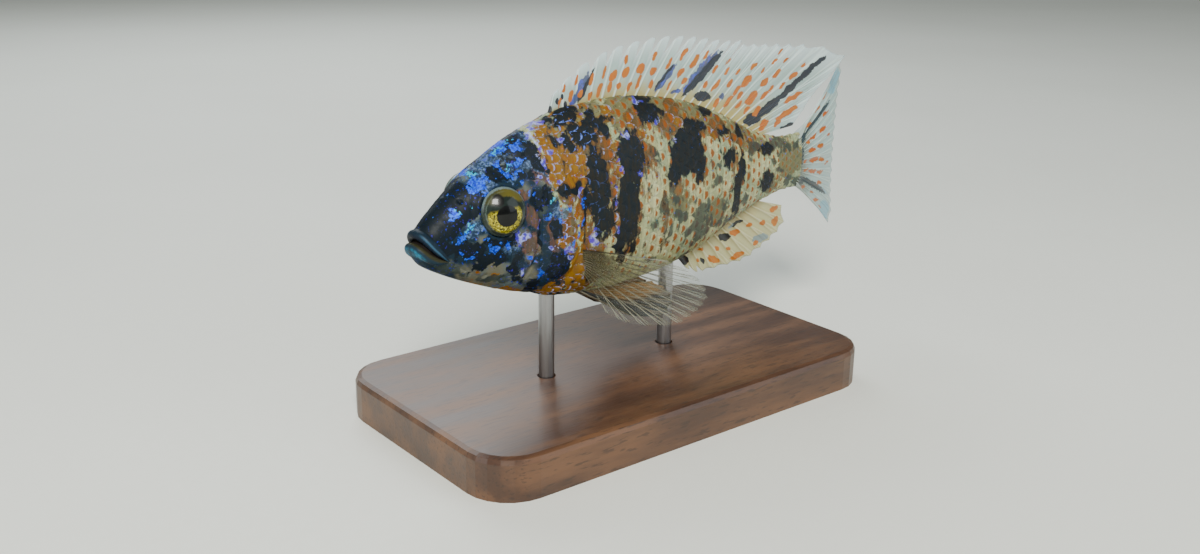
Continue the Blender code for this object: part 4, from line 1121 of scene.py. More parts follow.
def spotField(spots, s, z, seed, lean=None):  # lean turns the small spots along the rays
    field = np.zeros(np.shape(s))
    far, size = spotPlan["waves"]
    warpedS = s + far * wobble(s, z, size, seed)
    warpedZ = z + far * wobble(s, z, size, seed + 3.0)
    longer, wider = spotPlan["stretch"]
    for middleS, middleZ, halfLength, halfHeight, tilt in spots:
        if lean and halfLength < spotPlan["small"]:
            tilt = float(curve(lean, middleS))
            halfLength, halfHeight = longer * max(halfLength, halfHeight), wider * min(halfLength, halfHeight)
        away = ovalDistance(warpedS - middleS, warpedZ - middleZ, halfLength, halfHeight, tilt)
        field = np.maximum(field, np.clip(0.5 + (1.0 - away) / spotPlan["softEdge"], 0.0, 1.0))
    return field


def rayLines(q, v, spines, thin=1.0):  # 1 on a ray; soft rays fork twice on their way out
    ray = np.rint(q)
    beside = np.abs(q - ray)
    soft = (ray >= spines).astype(float)
    wide, narrow = finBuild["forks"]
    first = wide * ease(0.35, 0.8, v) * soft
    second = narrow * ease(0.72, 1.0, v) * soft
    fork = np.abs(np.abs(beside - first) - second)
    width = finBuild["rayBreadth"] * thin * (1.0 - 0.4 * v) * (1.0 - 0.3 * ease(0.35, 0.8, v) * soft)
    return np.exp(-((fork / width) ** 2))


def finThickness(shape, v, line):  # membrane between the rays, thicker at the root and on each ray
    build = finBuild
    membrane = build["membraneRoot"] + (build["membraneEdge"] - build["membraneRoot"]) * v
    ray = build["rayRoot"] + (build["rayEnd"] - build["rayRoot"]) * v
    thick = membrane + (ray - membrane) * line
    thick = thick + shape.get("rootThick", 0.0) * (1.0 - ease(0.0, 0.22, v))
    return thick * (1.0 - build["edgeThin"] * ease(0.94, 1.0, v))


def doubledSheet(name, sheet):  # two layers joined round the rim, which are pulled apart later
    bm = bmesh.new()
    bm.from_mesh(sheet)
    bmesh.ops.extrude_face_region(bm, geom=bm.faces[:], use_keep_orig=True)
    mesh = bpy.data.meshes.new(name)
    bm.to_mesh(mesh)
    bm.free()
    return mesh


def faceOutwards(mesh):
    bm = bmesh.new()
    bm.from_mesh(mesh)
    bmesh.ops.recalc_face_normals(bm, faces=bm.faces)
    bm.to_mesh(mesh)
    bm.free()


def finFields(kind, flat, line, out, over):  # the spots and rays, and how far out and over the fin
    marks = np.zeros((len(line), 4))
    for k, word in enumerate(("dark", "orange", "blue") if kind in finMarks else ()):
        lean = finMarks[kind].get("lean") if word == "orange" else None
        marks[:, k] = spotField(finMarks[kind][word], flat[:, 0], flat[:, 2], k + 1.0, lean)
    marks[:, 3] = line
    return {"marks": marks, "tones": np.stack((out, over, 0.0 * out, 0.0 * out), -1)}


def makeFin(name, place, kind):
    shape = finShapes[kind]
    rays, perRay, rows = shape["rays"], shape["perRay"], shape["rows"]
    columns = (rays - 1) * perRay
    sheet, column, row = gridMesh(name, columns, rows, "OFBake")
    q = column / perRay
    v = row / rows
    step = 0.03
    here, flat = place(q, v)
    outwards = place(q, v + step)[0] - place(q, v - step)[0]
    before, after = np.maximum(q - step, 0.0), np.minimum(q + step, rays - 1.0)
    normal = unit(np.cross(outwards, place(after, v * 0.98)[0] - place(before, v * 0.98)[0]))
    line = rayLines(q, v, shape["spines"], shape.get("thin", 1.0))
    thick = finThickness(shape, v, line)
    sag = finBuild["sag"] * np.cos(2.0 * np.pi * q) * ease(0.05, 0.4, v)
    mesh = doubledSheet(name, sheet)
    index = {pair: k for k, pair in enumerate(zip(column.tolist(), row.tolist()))}
    pairs = zip(*(whole.tolist() for whole in gridPlaces(mesh, columns, rows)))
    source = np.array([index[pair] for pair in pairs])
    side = np.where(np.arange(len(source)) < len(q), 1.0, -1.0)
    offset = sag[source] + side * 0.5 * thick[source]
    setPoints(mesh, here[source] + normal[source] * offset[:, None] * mm)
    setAllMarks(mesh, finFields(kind, flat[source], line[source], v[source], q[source] / (rays - 1)))
    bakeIslands(mesh)
    faceOutwards(mesh)
    mesh.shade_smooth()
    return newObject(name, mesh)


sheetMap = {"breadth": 0.49, "second": 0.505, "rim": 0.998}


def bakeIslands(mesh):  # the two faces of a sheet side by side on the bake map
    layer = mesh.uv_layers["OFBake"]
    uv = np.empty(len(mesh.loops) * 2, np.float32)
    layer.data.foreach_get("uv", uv)
    uv = uv.reshape(-1, 2)
    faceCount = len(mesh.polygons)
    starts = np.empty(faceCount, np.int32)
    mesh.polygons.foreach_get("loop_start", starts)
    owner = np.searchsorted(starts, np.arange(len(mesh.loops)), side="right") - 1
    vertex = np.empty(len(mesh.loops), np.int32)
    mesh.loops.foreach_get("vertex_index", vertex)
    second = vertex >= len(mesh.vertices) // 2
    back = np.bincount(owner, weights=second, minlength=faceCount)
    back = back / np.bincount(owner, minlength=faceCount)  # the share of a face's corners on the second layer
    uv[:, 0] = uv[:, 0] * sheetMap["breadth"] + np.where(back[owner] > 0.99, sheetMap["second"], 0.0)
    rim = (back[owner] > 0.01) & (back[owner] <= 0.99)
    uv[rim, 0] = uv[rim, 0] * sheetMap["rim"]
    layer.data.foreach_set("uv", uv.ravel())


def makeEye(name, side):
    shift = np.array(headForms["rightEyeShift"]) * (side > 0.0)
    middle = (np.array(headForms["eyeMiddle"]) + shift) * np.array((1.0, side, 1.0))
    axis = Vector(headForms["eyeAxis"])
    axis.y *= side
    axis = Matrix.Rotation(float(heading(np.array(middle[0]), 1.0)), 3, "Z") @ axis.normalized()
    upward = (Vector((0.0, 0.0, 1.0)) - axis * axis.z).normalized()
    fore = upward.cross(axis)
    fore = -fore if fore.x > 0.0 else fore
    radius, depth = headForms["eyeRadius"] * mm, headForms["eyeDepth"] * mm
    rotate = axis.to_track_quat("Z", "Y").to_matrix().to_4x4()
    bm = bmesh.new()
    around, over = headForms["eyeSegments"]
    rise, reach = headForms["cornea"]
    bmesh.ops.create_uvsphere(bm, u_segments=around, v_segments=over, radius=1.0)
    layer = bm.verts.layers.float_color.new("ring")
    for vert in bm.verts:
        flat = rotate @ Vector((vert.co.x, vert.co.y, 0.0))
        out = math.hypot(vert.co.x, vert.co.y)
        vert[layer] = (0.5 + 0.5 * flat.dot(fore), 0.5 + 0.5 * flat.dot(upward), out, 1.0)
        if vert.co.z > 0.0:
            vert.co.z *= 1.0 + rise * math.exp(-((out / reach) ** 2))
    shape = Matrix.Translation(Vector(bend(middle))) @ rotate @ Matrix.Diagonal((radius, radius, depth, 1.0))
    bmesh.ops.transform(bm, matrix=shape, verts=bm.verts)
    mesh = bpy.data.meshes.new(name)
    bm.to_mesh(mesh)
    bm.free()
    mesh.shade_smooth()
    return newObject(name, mesh)


class Nodes:  # short words for building one material
    def __init__(self, name):
        self.material = bpy.data.materials.new(name)
        self.material.use_nodes = True
        self.tree = self.material.node_tree
        self.shader = self.tree.nodes["Principled BSDF"]
        self.place = self.tree.nodes.new("ShaderNodeTexCoord").outputs["Object"]

    def put(self, socket, value):
        if isinstance(value, bpy.types.NodeSocket):
            self.tree.links.new(value, socket)
        elif isinstance(value, tuple) and len(value) == 3 and socket.type == "RGBA":
            socket.default_value = (*value, 1.0)
        else:
            socket.default_value = value

    def math(self, operation, a, b=0.0, clamp=False):
        node = self.tree.nodes.new("ShaderNodeMath")
        node.operation = operation
        node.use_clamp = clamp
        self.put(node.inputs[0], a)
        self.put(node.inputs[1], b)
        return node.outputs[0]

    def plus(self, a, b, clamp=False):
        return self.math("ADD", a, b, clamp)

    def minus(self, a, b):
        return self.math("SUBTRACT", a, b)

    def times(self, a, b):
        return self.math("MULTIPLY", a, b)

    def around(self, value, spread):  # from 0 to 1 into either side of 0
        return self.times(self.minus(value, 0.5), spread)

    def length(self, x, y):
        return self.math("SQRT", self.plus(self.times(x, x), self.times(y, y)))

    def noise(self, scale, detail, roughness, stretch=None):
        node = self.tree.nodes.new("ShaderNodeTexNoise")
        place = self.place
        if stretch:
            mapping = self.tree.nodes.new("ShaderNodeMapping")
            mapping.inputs["Scale"].default_value = stretch
            self.put(mapping.inputs["Vector"], place)
            place = mapping.outputs["Vector"]
        self.put(node.inputs["Vector"], place)
        node.inputs["Scale"].default_value = scale
        node.inputs["Detail"].default_value = detail
        node.inputs["Roughness"].default_value = roughness
        return node.outputs["Fac"]

    def step(self, value, low, high, toLow=0.0, toHigh=1.0):
        node = self.tree.nodes.new("ShaderNodeMapRange")
        node.interpolation_type = "SMOOTHSTEP"
        self.put(node.inputs["Value"], value)
        node.inputs["From Min"].default_value = low
        node.inputs["From Max"].default_value = high
        node.inputs["To Min"].default_value = toLow
        node.inputs["To Max"].default_value = toHigh
        return node.outputs["Result"]

    def fall(self, value, low, high):
        return self.step(value, low, high, 1.0, 0.0)

    def band(self, value, rise, fall):
        return self.times(self.step(value, *rise), self.fall(value, *fall))

    def mix(self, share, a, b):
        node = self.tree.nodes.new("ShaderNodeMix")
        node.data_type = "RGBA"
        self.put(node.inputs["Factor"], share)
        self.put(node.inputs[6], a)
        self.put(node.inputs[7], b)
        return node.outputs[2]

    def channels(self, name):
        node = self.tree.nodes.new("ShaderNodeAttribute")
        node.attribute_name = name
        split = self.tree.nodes.new("ShaderNodeSeparateColor")
        self.tree.links.new(node.outputs["Color"], split.inputs[0])
        return split.outputs[0], split.outputs[1], split.outputs[2], node.outputs["Alpha"]

    def uv(self, name):
        node = self.tree.nodes.new("ShaderNodeUVMap")
        node.uv_map = name
        split = self.tree.nodes.new("ShaderNodeSeparateXYZ")
        self.tree.links.new(node.outputs["UV"], split.inputs[0])
        return split.outputs[0], split.outputs[1]

    def bump(self, height, strength, distance):
        node = self.tree.nodes.new("ShaderNodeBump")
        self.put(node.inputs["Height"], height)
        node.inputs["Strength"].default_value = strength
        node.inputs["Distance"].default_value = distance
        self.tree.links.new(node.outputs["Normal"], self.shader.inputs["Normal"])

    def set(self, **values):
        for name, value in values.items():
            self.put(self.shader.inputs[name.replace("_", " ")], value)
        return self.material


skinColours = {
    "cream": (0.42, 0.44, 0.22), "creamGreen": (0.3, 0.37, 0.21), "belly": (0.5, 0.51, 0.28),
    "olive": (0.1, 0.102, 0.046), "night": (0.006, 0.018, 0.03), "navy": (0.011, 0.028, 0.075),
    "frostDark": (0.013, 0.03, 0.066), "frostPale": (0.13, 0.22, 0.4),
    "tan": (0.15, 0.14, 0.088), "tanGrey": (0.1, 0.125, 0.118), "ochre": (0.2, 0.098, 0.004),
    "orange": (0.25, 0.08, 0.003), "brown": (0.075, 0.04, 0.012), "rust": (0.17, 0.055, 0.007),
    "dot": (0.22, 0.054, 0.0006), "slate": (0.026, 0.038, 0.034), "black": (0.003, 0.0075, 0.012),
    "umber": (0.011, 0.01, 0.0065), "lilac": (0.36, 0.42, 0.78), "edgeBlue": (0.11, 0.2, 0.68),
    "blue": (0.002, 0.022, 0.5), "sky": (0.02, 0.13, 0.75), "violet": (0.04, 0.02, 0.45),
    "cyan": (0.02, 0.45, 0.6),
    # Painted light on the lips: the upper lip's line colour and the lower lip's pale colour are painted
    # highlights; lipDark also serves as painted shade under the lower lip, and mouth is painted shade deep in
    # the mouth's slit.
    "lipDark": (0.003, 0.007, 0.018), "lipRidgeHighlight": (0.025, 0.075, 0.13), "lipHighlight": (0.018, 0.15, 0.25),
    "lipGrey": (0.01, 0.024, 0.038), "lipInner": (0.026, 0.026, 0.012), "mouth": (0.012, 0.009, 0.008),
}
skinGrain = {  # patches to each metre, detail, roughness, and how far they are drawn out
    "fine": (2400.0, 3.0, 0.65), "blotch": (640.0, 5.0, 0.62), "streak": (720.0, 4.0, 0.58, (1.0, 1.0, 0.4)),
    "threads": (2300.0, 3.0, 0.6, (1.0, 1.0, 0.16)), "broad": (150.0, 3.0, 0.5), "soft": (420.0, 2.0, 0.5),
    "other": (900.0, 4.0, 0.6), "flecks": (1900.0, 3.0, 0.6), "lipStreaks": (1500.0, 4.0, 0.6),
}
skinLayers = {  # where a mark begins, where it is full, how uneven its edge is, how strong it gets
    "pale": (0.4, 0.7, 0.8, 0.8), "olive": (0.42, 0.7, 0.9, 0.85), "head": (0.42, 0.58, 0.5, 1.0),
    "tan": (0.16, 0.86, 0.5, 0.8), "frost": (0.38, 0.78, 0.9, 0.88), "ochre": (0.4, 0.6, 1.0, 1.0),
    "brown": (0.38, 0.7, 0.9, 0.85), "slate": (0.38, 0.72, 0.9, 0.86), "fringe": (0.14, 0.44, 0.9, 0.72),
    "black": (0.36, 0.52, 0.85, 1.0), "lilac": (0.5, 0.7, 0.9, 0.8), "blue": (0.54, 0.74, 1.1, 1.0),
}
skinGloss = {"coatOnSkin": 0.03, "coatOnScales": 0.06, "shineOnSkin": 0.12, "shineOnScales": 0.2}


class SkinPaint(Nodes):  # a colour that grows layer by layer, and what its layers share
    def __init__(self, name):
        super().__init__(name)
        self.field = {}
        for attribute, kinds in markChannels.items():
            self.field.update(zip(kinds, self.channels(attribute)))
        self.grains = {}
        blotch, streak = self.grain("blotch"), self.grain("streak")
        ragged = self.plus(self.times(self.minus(blotch, streak), self.field["head"]), streak)
        self.speckle = self.minus(self.grain("fine"), 0.5)
        self.mottle = self.plus(self.around(ragged, 2.6), self.times(self.speckle, 0.3))
        self.other = self.around(self.grain("other"), 2.4)
        self.flank = self.fall(self.field["head"], 0.3, 0.6)
        self.colour = None

    def grain(self, kind):  # each kind of noise is made when it is first wanted
        if kind not in self.grains:
            self.grains[kind] = self.noise(*skinGrain[kind])
        return self.grains[kind]

    def share(self, kind, by=None, of=None):  # how far one kind of mark covers the skin
        low, high, rough, strength = skinLayers[kind]
        uneven = self.times(self.mottle if by is None else by, rough)
        return self.times(self.step(self.plus(self.field[of or kind], uneven), low, high), strength)

    def lay(self, share, tone):
        self.colour = self.mix(share, self.colour, tone)


def paintGround(p):
    c = skinColours
    patchy = p.step(p.grain("broad"), 0.42, 0.6)
    p.colour = p.mix(patchy, c["cream"], c["creamGreen"])
    p.lay(p.share("pale"), c["belly"])
    p.lay(p.share("olive", p.other), c["olive"])
    p.lay(p.step(p.grain("threads"), 0.54, 0.66, 0.0, 0.55), c["olive"])
    p.lay(p.share("head"), p.mix(p.step(p.grain("blotch"), 0.48, 0.66), c["night"], c["navy"]))
    soft = p.around(p.grain("soft"), 2.0)
    p.lay(p.share("tan", soft), p.mix(patchy, c["tan"], c["tanGrey"]))


def paintFrostAndOchre(p):
    c, other = skinColours, p.other
    fine, threads = p.grain("fine"), p.grain("threads")
    icy = p.mix(p.step(p.plus(fine, p.times(other, 0.25)), 0.4, 0.72), c["frostDark"], c["frostPale"])
    icy = p.mix(p.step(other, 0.14, 0.5, 0.0, 0.7), icy, c["blue"])
    icy = p.mix(p.step(other, 0.4, 0.6, 0.0, 0.7), icy, c["sky"])
    p.lay(p.share("frost"), icy)
    ochreTone = p.mix(p.step(other, 0.08, 0.5), c["ochre"], c["orange"])
    ochreTone = p.mix(p.step(threads, 0.5, 0.62, 0.0, 0.75), ochreTone, c["rust"])
    p.lay(p.share("ochre", other), ochreTone)
    earthy = p.mix(p.step(threads, 0.46, 0.6, 0.0, 0.9), c["brown"], c["rust"])
    earthy = p.mix(p.times(p.step(p.field["head"], 0.4, 0.8), 0.3), earthy, c["frostDark"])
    p.lay(p.share("brown"), earthy)


def paintPlates(p):  # an orange dot and a pale edge on each scale; the edges are wanted again for the glints
    c, other, fine = skinColours, p.other, p.grain("fine")
    across, along = p.uv("plate")
    luck, _, _, _ = p.channels("chance")
    away = p.length(p.around(across, 0.72), p.times(p.minus(along, 0.72), 1.5))
    away = p.plus(away, p.times(p.speckle, 0.35))
    away = p.plus(away, p.times(p.minus(luck, 0.42), 0.16))
    shown = p.times(p.step(p.plus(p.field["spots"], p.times(luck, 0.4)), 0.45, 0.9), 0.95)
    p.lay(p.times(p.step(away, 0.25, 0.45, 0.12, 0.0), shown), c["rust"])
    p.lay(p.times(p.fall(away, 0.13, 0.25), shown), p.mix(p.step(other, 0.0, 0.4), c["dot"], c["rust"]))
    side = p.math("ABSOLUTE", p.minus(across, 0.5))
    rim = p.math("MAXIMUM", p.step(along, 0.82, 0.92), p.step(side, 0.36, 0.46))
    broken = p.step(p.plus(fine, p.times(other, 0.3)), 0.46, 0.58)
    overOchre = p.step(p.field["ochre"], 0.3, 0.55, 0.08, 0.9)
    paleEdge = p.plus(overOchre, p.step(luck, 0.7, 0.95, 0.0, 0.15), True)
    p.lay(p.times(p.times(rim, paleEdge), broken), c["lilac"])
    # painted shade: the root of each scale, where the scale before it overlaps, is darkened with brown
    p.lay(p.times(p.step(along, 0.35, 0.6, 0.3, 0.0), p.flank), c["brown"])
    p.lay(p.times(p.times(rim, p.flank), p.step(fine, 0.35, 0.6, 0.15, 0.5)), c["olive"])
    return rim


def paintDark(p):
    c = skinColours
    p.lay(p.share("slate"), c["slate"])
    fringeTone = p.mix(p.step(p.grain("broad"), 0.44, 0.6), c["brown"], c["slate"])
    p.lay(p.times(p.share("fringe", of="black"), p.flank), fringeTone)
    inky = p.mix(p.times(p.step(p.grain("threads"), 0.42, 0.62), p.flank), c["black"], c["umber"])
    p.lay(p.share("black"), inky)


def paintGlints(p, rim):  # blue on the edges of the scales in the dark bands
    fine, other = p.grain("fine"), p.other
    nearBlack = p.step(p.plus(p.field["black"], p.times(other, 0.3)), 0.35, 0.7)
    glint = p.times(p.times(rim, nearBlack), p.step(p.field["spots"], 0.05, 0.6, 0.95, 0.08))
    glint = p.times(glint, p.step(p.plus(fine, p.times(other, 0.8)), 0.5, 0.66))
    glint = p.times(glint, p.step(p.field["head"], 0.3, 0.8, 1.0, 0.3))
    glint = p.times(glint, p.step(p.field["olive"], 0.05, 0.4, 0.3, 1.0))
    p.lay(glint, skinColours["edgeBlue"])


def paintLilacAndBlue(p):  # gives back where the blue lies, for its sheen
    c, broad, blotch = skinColours, p.grain("broad"), p.grain("blotch")
    p.lay(p.share("lilac", p.other), p.mix(p.step(p.other, -0.15, 0.25), c["lilac"], c["violet"]))
    flecks = p.times(p.step(p.grain("flecks"), 0.6, 0.7), p.step(p.field["head"], 0.4, 0.8))
    flecks = p.times(flecks, p.step(broad, 0.46, 0.58, 0.1, 0.8))
    p.lay(flecks, p.mix(p.step(blotch, 0.45, 0.6), c["blue"], c["violet"]))
    blueTone = p.mix(p.step(p.grain("fine"), 0.42, 0.62), c["blue"], c["sky"])
    blueTone = p.mix(p.step(p.plus(broad, p.times(p.speckle, 0.3)), 0.6, 0.66), blueTone, c["cyan"])
    blueShare = p.share("blue", p.plus(p.other, p.times(p.speckle, 1.2)))
    p.lay(blueShare, blueTone)
    return blueShare


def paintLips(p):  # along says which lip and how far along it, turn how far round it
    c = skinColours
    onLip, along, turn, _ = p.channels("lips")
    # painted highlight: a pale blue line along the upper lip's ridge, where the lip catches the light
    ridgeHighlight = p.times(p.band(turn, (0.62, 0.72), (0.76, 0.86)), p.step(along, 0.08, 0.2))
    upperLip = p.mix(p.step(turn, 0.4, 0.7, 0.0, 0.6), c["lipDark"], c["lipGrey"])
    upperLip = p.mix(ridgeHighlight, upperLip, c["lipRidgeHighlight"])
    # painted highlight: pale blue streaks on the front of the lower lip, where its rounded face catches the
    # light
    streaky = p.step(p.grain("lipStreaks"), 0.36, 0.6, 0.2, 1.0)
    front = p.times(p.step(along, 0.66, 0.78), p.step(along, 0.9, 0.98, 1.0, 0.3))
    front = p.times(front, p.band(turn, (0.55, 0.8), (1.05, 1.3)))
    lowerLip = p.mix(p.times(front, streaky), c["lipGrey"], c["lipHighlight"])
    lowerLip = p.mix(p.fall(turn, 0.32, 0.5), lowerLip, c["lipInner"])
    # painted shade: the lower lip darkens where it turns under into the groove above the chin
    lowerLip = p.mix(p.step(turn, 1.0, 1.3, 0.0, 0.7), lowerLip, c["lipDark"])
    lipTone = p.mix(p.step(along, 0.48, 0.52), upperLip, lowerLip)
    # painted shade: near-black deep inside the mouth, in the slit between the lips
    lipTone = p.mix(p.fall(turn, 0.06, 0.16), lipTone, c["mouth"])
    p.lay(p.step(p.plus(onLip, p.times(p.speckle, 0.3)), 0.35, 0.75), lipTone)


def skinMaterial(name, plates):
    p = SkinPaint(name)
    paintGround(p)
    paintFrostAndOchre(p)
    if plates:
        rim = paintPlates(p)
    paintDark(p)
    if plates:
        paintGlints(p, rim)
    blueShare = paintLilacAndBlue(p)
    if not plates:
        paintLips(p)
    fine, blotch = p.grain("fine"), p.grain("blotch")
    p.bump(p.plus(p.times(fine, 0.7), p.times(blotch, 0.6)), 0.5, 0.00012)
    return p.set(
        Base_Color=p.colour, Roughness=p.step(blotch, 0.3, 0.7, 0.42, 0.6), Metallic=p.times(blueShare, 0.25),
        Coat_Weight=skinGloss["coatOnScales" if plates else "coatOnSkin"], Coat_Roughness=0.3,
        Specular_IOR_Level=skinGloss["shineOnScales" if plates else "shineOnSkin"],
        Subsurface_Weight=0.05, Subsurface_Radius=(0.002, 0.0012, 0.0008), Subsurface_Scale=0.4,
    )


finColours = {
    "dorsal": {
        "membrane": (0.33, 0.46, 0.44), "root": (0.4, 0.34, 0.11), "ray": (0.54, 0.66, 0.64),
        "dark": (0.009, 0.014, 0.024), "orange": (0.4, 0.105, 0.001), "blue": (0.012, 0.03, 0.13),
        "brightBlue": (0.01, 0.04, 0.42), "clear": 0.8,
        "tip": (0.56, 0.68, 0.7), "tipReach": (0.62, 1.0, 0.0, 0.85),
    },
    "anal": {
        "membrane": (0.44, 0.43, 0.22), "root": (0.36, 0.31, 0.12), "ray": (0.52, 0.52, 0.34),
        "dark": (0.008, 0.01, 0.012), "orange": (0.42, 0.12, 0.001), "blue": (0.16, 0.24, 0.26),
        "clear": 0.84,
    },
    "caudal": {
        "membrane": (0.36, 0.5, 0.49), "root": (0.14, 0.16, 0.11), "ray": (0.5, 0.62, 0.58),
        "dark": (0.03, 0.05, 0.06), "orange": (0.42, 0.09, 0.003), "blue": (0.2, 0.42, 0.52), "clear": 0.84,
    },
    "pectoral": {
        "membrane": (0.15, 0.132, 0.078), "root": (0.085, 0.075, 0.038), "ray": (0.2, 0.19, 0.13),
        "rayRoot": (0.02, 0.018, 0.011), "rayUpper": (0.09, 0.09, 0.06), "rayShare": 0.8, "shine": 0.2,
        "dark": (0.03, 0.03, 0.02), "orange": (0.5, 0.25, 0.05), "blue": (0.4, 0.5, 0.5),
        "clear": 0.06, "cloudy": 0.72, "tip": (0.36, 0.38, 0.32), "tipReach": (0.3, 0.9, 0.0, 1.0),
    },
    "pelvic": {
        "membrane": (0.01, 0.009, 0.008), "root": (0.14, 0.06, 0.012), "ray": (0.17, 0.15, 0.1),
        "inner": (0.19, 0.1, 0.02), "dark": (0.005, 0.005, 0.005), "orange": (0.5, 0.25, 0.05),
        "blue": (0.3, 0.4, 0.45), "clear": 0.95,
    },
    "orangePale": (0.4, 0.12, 0.002),
}
finGrain = {"fine": (1900.0, 3.0, 0.6), "middle": (560.0, 4.0, 0.6)}  # as the skin's grain


def finMaterial(name, kind):
    n = Nodes(name)
    c = finColours[kind]
    dark, orange, blue, ray = n.channels("marks")
    out, across, _, _ = n.channels("tones")
    fine = n.noise(*finGrain["fine"])
    middle = n.noise(*finGrain["middle"])
    grain = n.plus(n.around(fine, 0.5), n.around(middle, 0.6))
    uneven = n.times(grain, 0.2)
    colour = n.mix(n.step(n.plus(out, uneven), 0.06, 0.45), c["root"], c["membrane"])
    if "inner" in c:
        inner = n.step(n.minus(n.plus(across, n.times(grain, 0.3)), out), -0.35, -0.1)
        colour = n.mix(n.times(inner, n.step(across, 0.14, 0.3, 0.0, 0.9)), colour, c["inner"])
        colour = n.mix(n.fall(n.plus(across, uneven), 0.16, 0.34), colour, c["dark"])
    if "tip" in c:
        colour = n.mix(n.step(out, *c["tipReach"]), colour, c["tip"])
    rayTone = c["ray"]
    if "rayUpper" in c:
        upperTone = n.mix(n.step(out, 0.25, 0.95), c["rayRoot"], c["rayUpper"])
        rayTone = n.mix(n.step(across, 0.3, 0.6), upperTone, c["ray"])
    colour = n.mix(n.step(ray, 0.35, 0.9, 0.0, c.get("rayShare", 0.7)), colour, rayTone)
    blueTone = n.mix(n.step(middle, 0.46, 0.6), c["blue"], c.get("brightBlue", c["blue"]))
    colour = n.mix(n.times(n.step(n.plus(blue, grain), 0.42, 0.62), 0.92), colour, blueTone)
    colour = n.mix(n.step(n.plus(dark, grain), 0.44, 0.58), colour, c["dark"])
    orangeTone = n.mix(n.step(middle, 0.42, 0.62), c["orange"], finColours["orangePale"])
    colour = n.mix(n.step(n.plus(orange, n.times(grain, 0.6)), 0.42, 0.6), colour, orangeTone)
    solid = n.math("MAXIMUM", n.step(ray, 0.25, 0.85, c["clear"], 0.98), n.fall(out, 0.0, 0.22))
    solid = n.math("MAXIMUM", solid, n.step(n.math("MAXIMUM", dark, orange), 0.4, 0.6, 0.0, 0.95))
    if "cloudy" in c:
        solid = n.math("MAXIMUM", solid, n.step(n.plus(out, grain), 0.04, 0.42, c["cloudy"], 0.0))
    n.bump(n.plus(fine, n.times(middle, 0.6)), 0.25, 0.0001)
    return n.set(
        Base_Color=colour, Roughness=0.38, Coat_Weight=0.15, Coat_Roughness=0.25, Alpha=solid,
        Specular_IOR_Level=c.get("shine", 0.5),
        Subsurface_Weight=0.2, Subsurface_Radius=(0.003, 0.002, 0.0015), Subsurface_Scale=0.5,
    )


eyeColours = {
    "pupil": (0.001, 0.0012, 0.0015), "gold": (0.36, 0.31, 0.015), "goldPale": (0.66, 0.66, 0.1),
    "goldDark": (0.03, 0.028, 0.004), "dome": (0.006, 0.012, 0.01), "annulus": (0.013, 0.021, 0.017),
    # pale is a painted highlight on the upper side of the eye's outer rim
    "line": (0.1, 0.14, 0.12), "olive": (0.09, 0.078, 0.01), "pale": (0.13, 0.19, 0.2),
    "lowRim": (0.04, 0.055, 0.04),
}
eyeGrain = {"fine": (3000.0, 3.0, 0.65), "middle": (900.0, 3.0, 0.6)}


def eyeMaterial(name):
    n = Nodes(name)
    c = eyeColours
    foreShare, upShare, radial, _ = n.channels("ring")
    fore = n.around(foreShare, 2.0)
    up = n.around(upShare, 2.0)
    fine = n.noise(*eyeGrain["fine"])
    middle = n.noise(*eyeGrain["middle"])
    grain = n.minus(fine, 0.5)

    def distance(f, u, tall=1.0):  # from a place on the iris
        return n.length(n.minus(fore, f), n.times(n.minus(up, u), tall))

    edge = n.plus(radial, n.times(grain, 0.12))
    colour = n.mix(n.step(edge, 0.64, 0.72), c["dome"], c["annulus"])
    colour = n.mix(n.times(n.band(edge, (0.8, 0.83), (0.83, 0.87)), 0.6), colour, c["line"])
    upper = n.times(n.step(up, 0.3, 0.46), n.step(edge, 0.6, 0.68))
    colour = n.mix(n.times(upper, n.step(fore, -0.2, 0.5, 0.9, 0.35)), colour, c["olive"])
    colour = n.mix(n.step(distance(0.32, 0.52, 0.9), 0.18, 0.26, 0.95, 0.0), colour, c["pupil"])
    lean = n.plus(up, n.times(fore, 0.1))
    limit = n.fall(n.plus(lean, n.times(grain, 0.25)), 0.06, 0.22)
    rough = n.plus(n.times(grain, 0.16), n.around(middle, 0.2))
    crescent = n.times(n.fall(n.plus(distance(0.06, -0.13), rough), 0.66, 0.74), limit)
    gold = n.mix(n.step(fine, 0.4, 0.54), c["goldDark"], c["gold"])
    gold = n.mix(n.step(fine, 0.56, 0.68), gold, c["goldPale"])
    colour = n.mix(crescent, colour, gold)
    colour = n.mix(n.fall(distance(0.02, -0.13, 1.04), 0.43, 0.46), colour, c["pupil"])
    # painted highlight: the eye's outer rim is pale where its upper side catches the light, and darker below
    rimTone = n.mix(n.step(up, -0.1, 0.4), c["lowRim"], c["pale"])
    colour = n.mix(n.step(edge, 0.9, 0.95, 0.0, 0.85), colour, rimTone)
    n.bump(n.plus(fine, middle), 0.06, 0.00005)
    return n.set(
        Base_Color=colour, Roughness=0.3, Coat_Weight=0.35, Coat_Roughness=0.02, Specular_IOR_Level=0.2,
        Metallic=n.times(crescent, 0.3),
    )


standColours = {
    "woodDark": (0.05, 0.02, 0.009), "woodPale": (0.13, 0.058, 0.024), "woodPore": (0.022, 0.01, 0.005),
    "steelDark": (0.26, 0.26, 0.27), "steelPale": (0.42, 0.42, 0.43),
    "floorDark": (0.74, 0.76, 0.7), "floorPale": (0.82, 0.84, 0.79),
}
standGrain = {  # the wood's is drawn out along the base, the steel's along the rods
    "rings": (160.0, 4.0, 0.6, (0.16, 1.0, 1.0)), "pores": (1900.0, 2.0, 0.5, (0.16, 1.0, 1.0)),
    "scratches": (5200.0, 3.0, 0.6, (1.0, 1.0, 0.03)),
    "floorFine": (420.0, 3.0, 0.6), "floorBroad": (9.0, 3.0, 0.5),
}


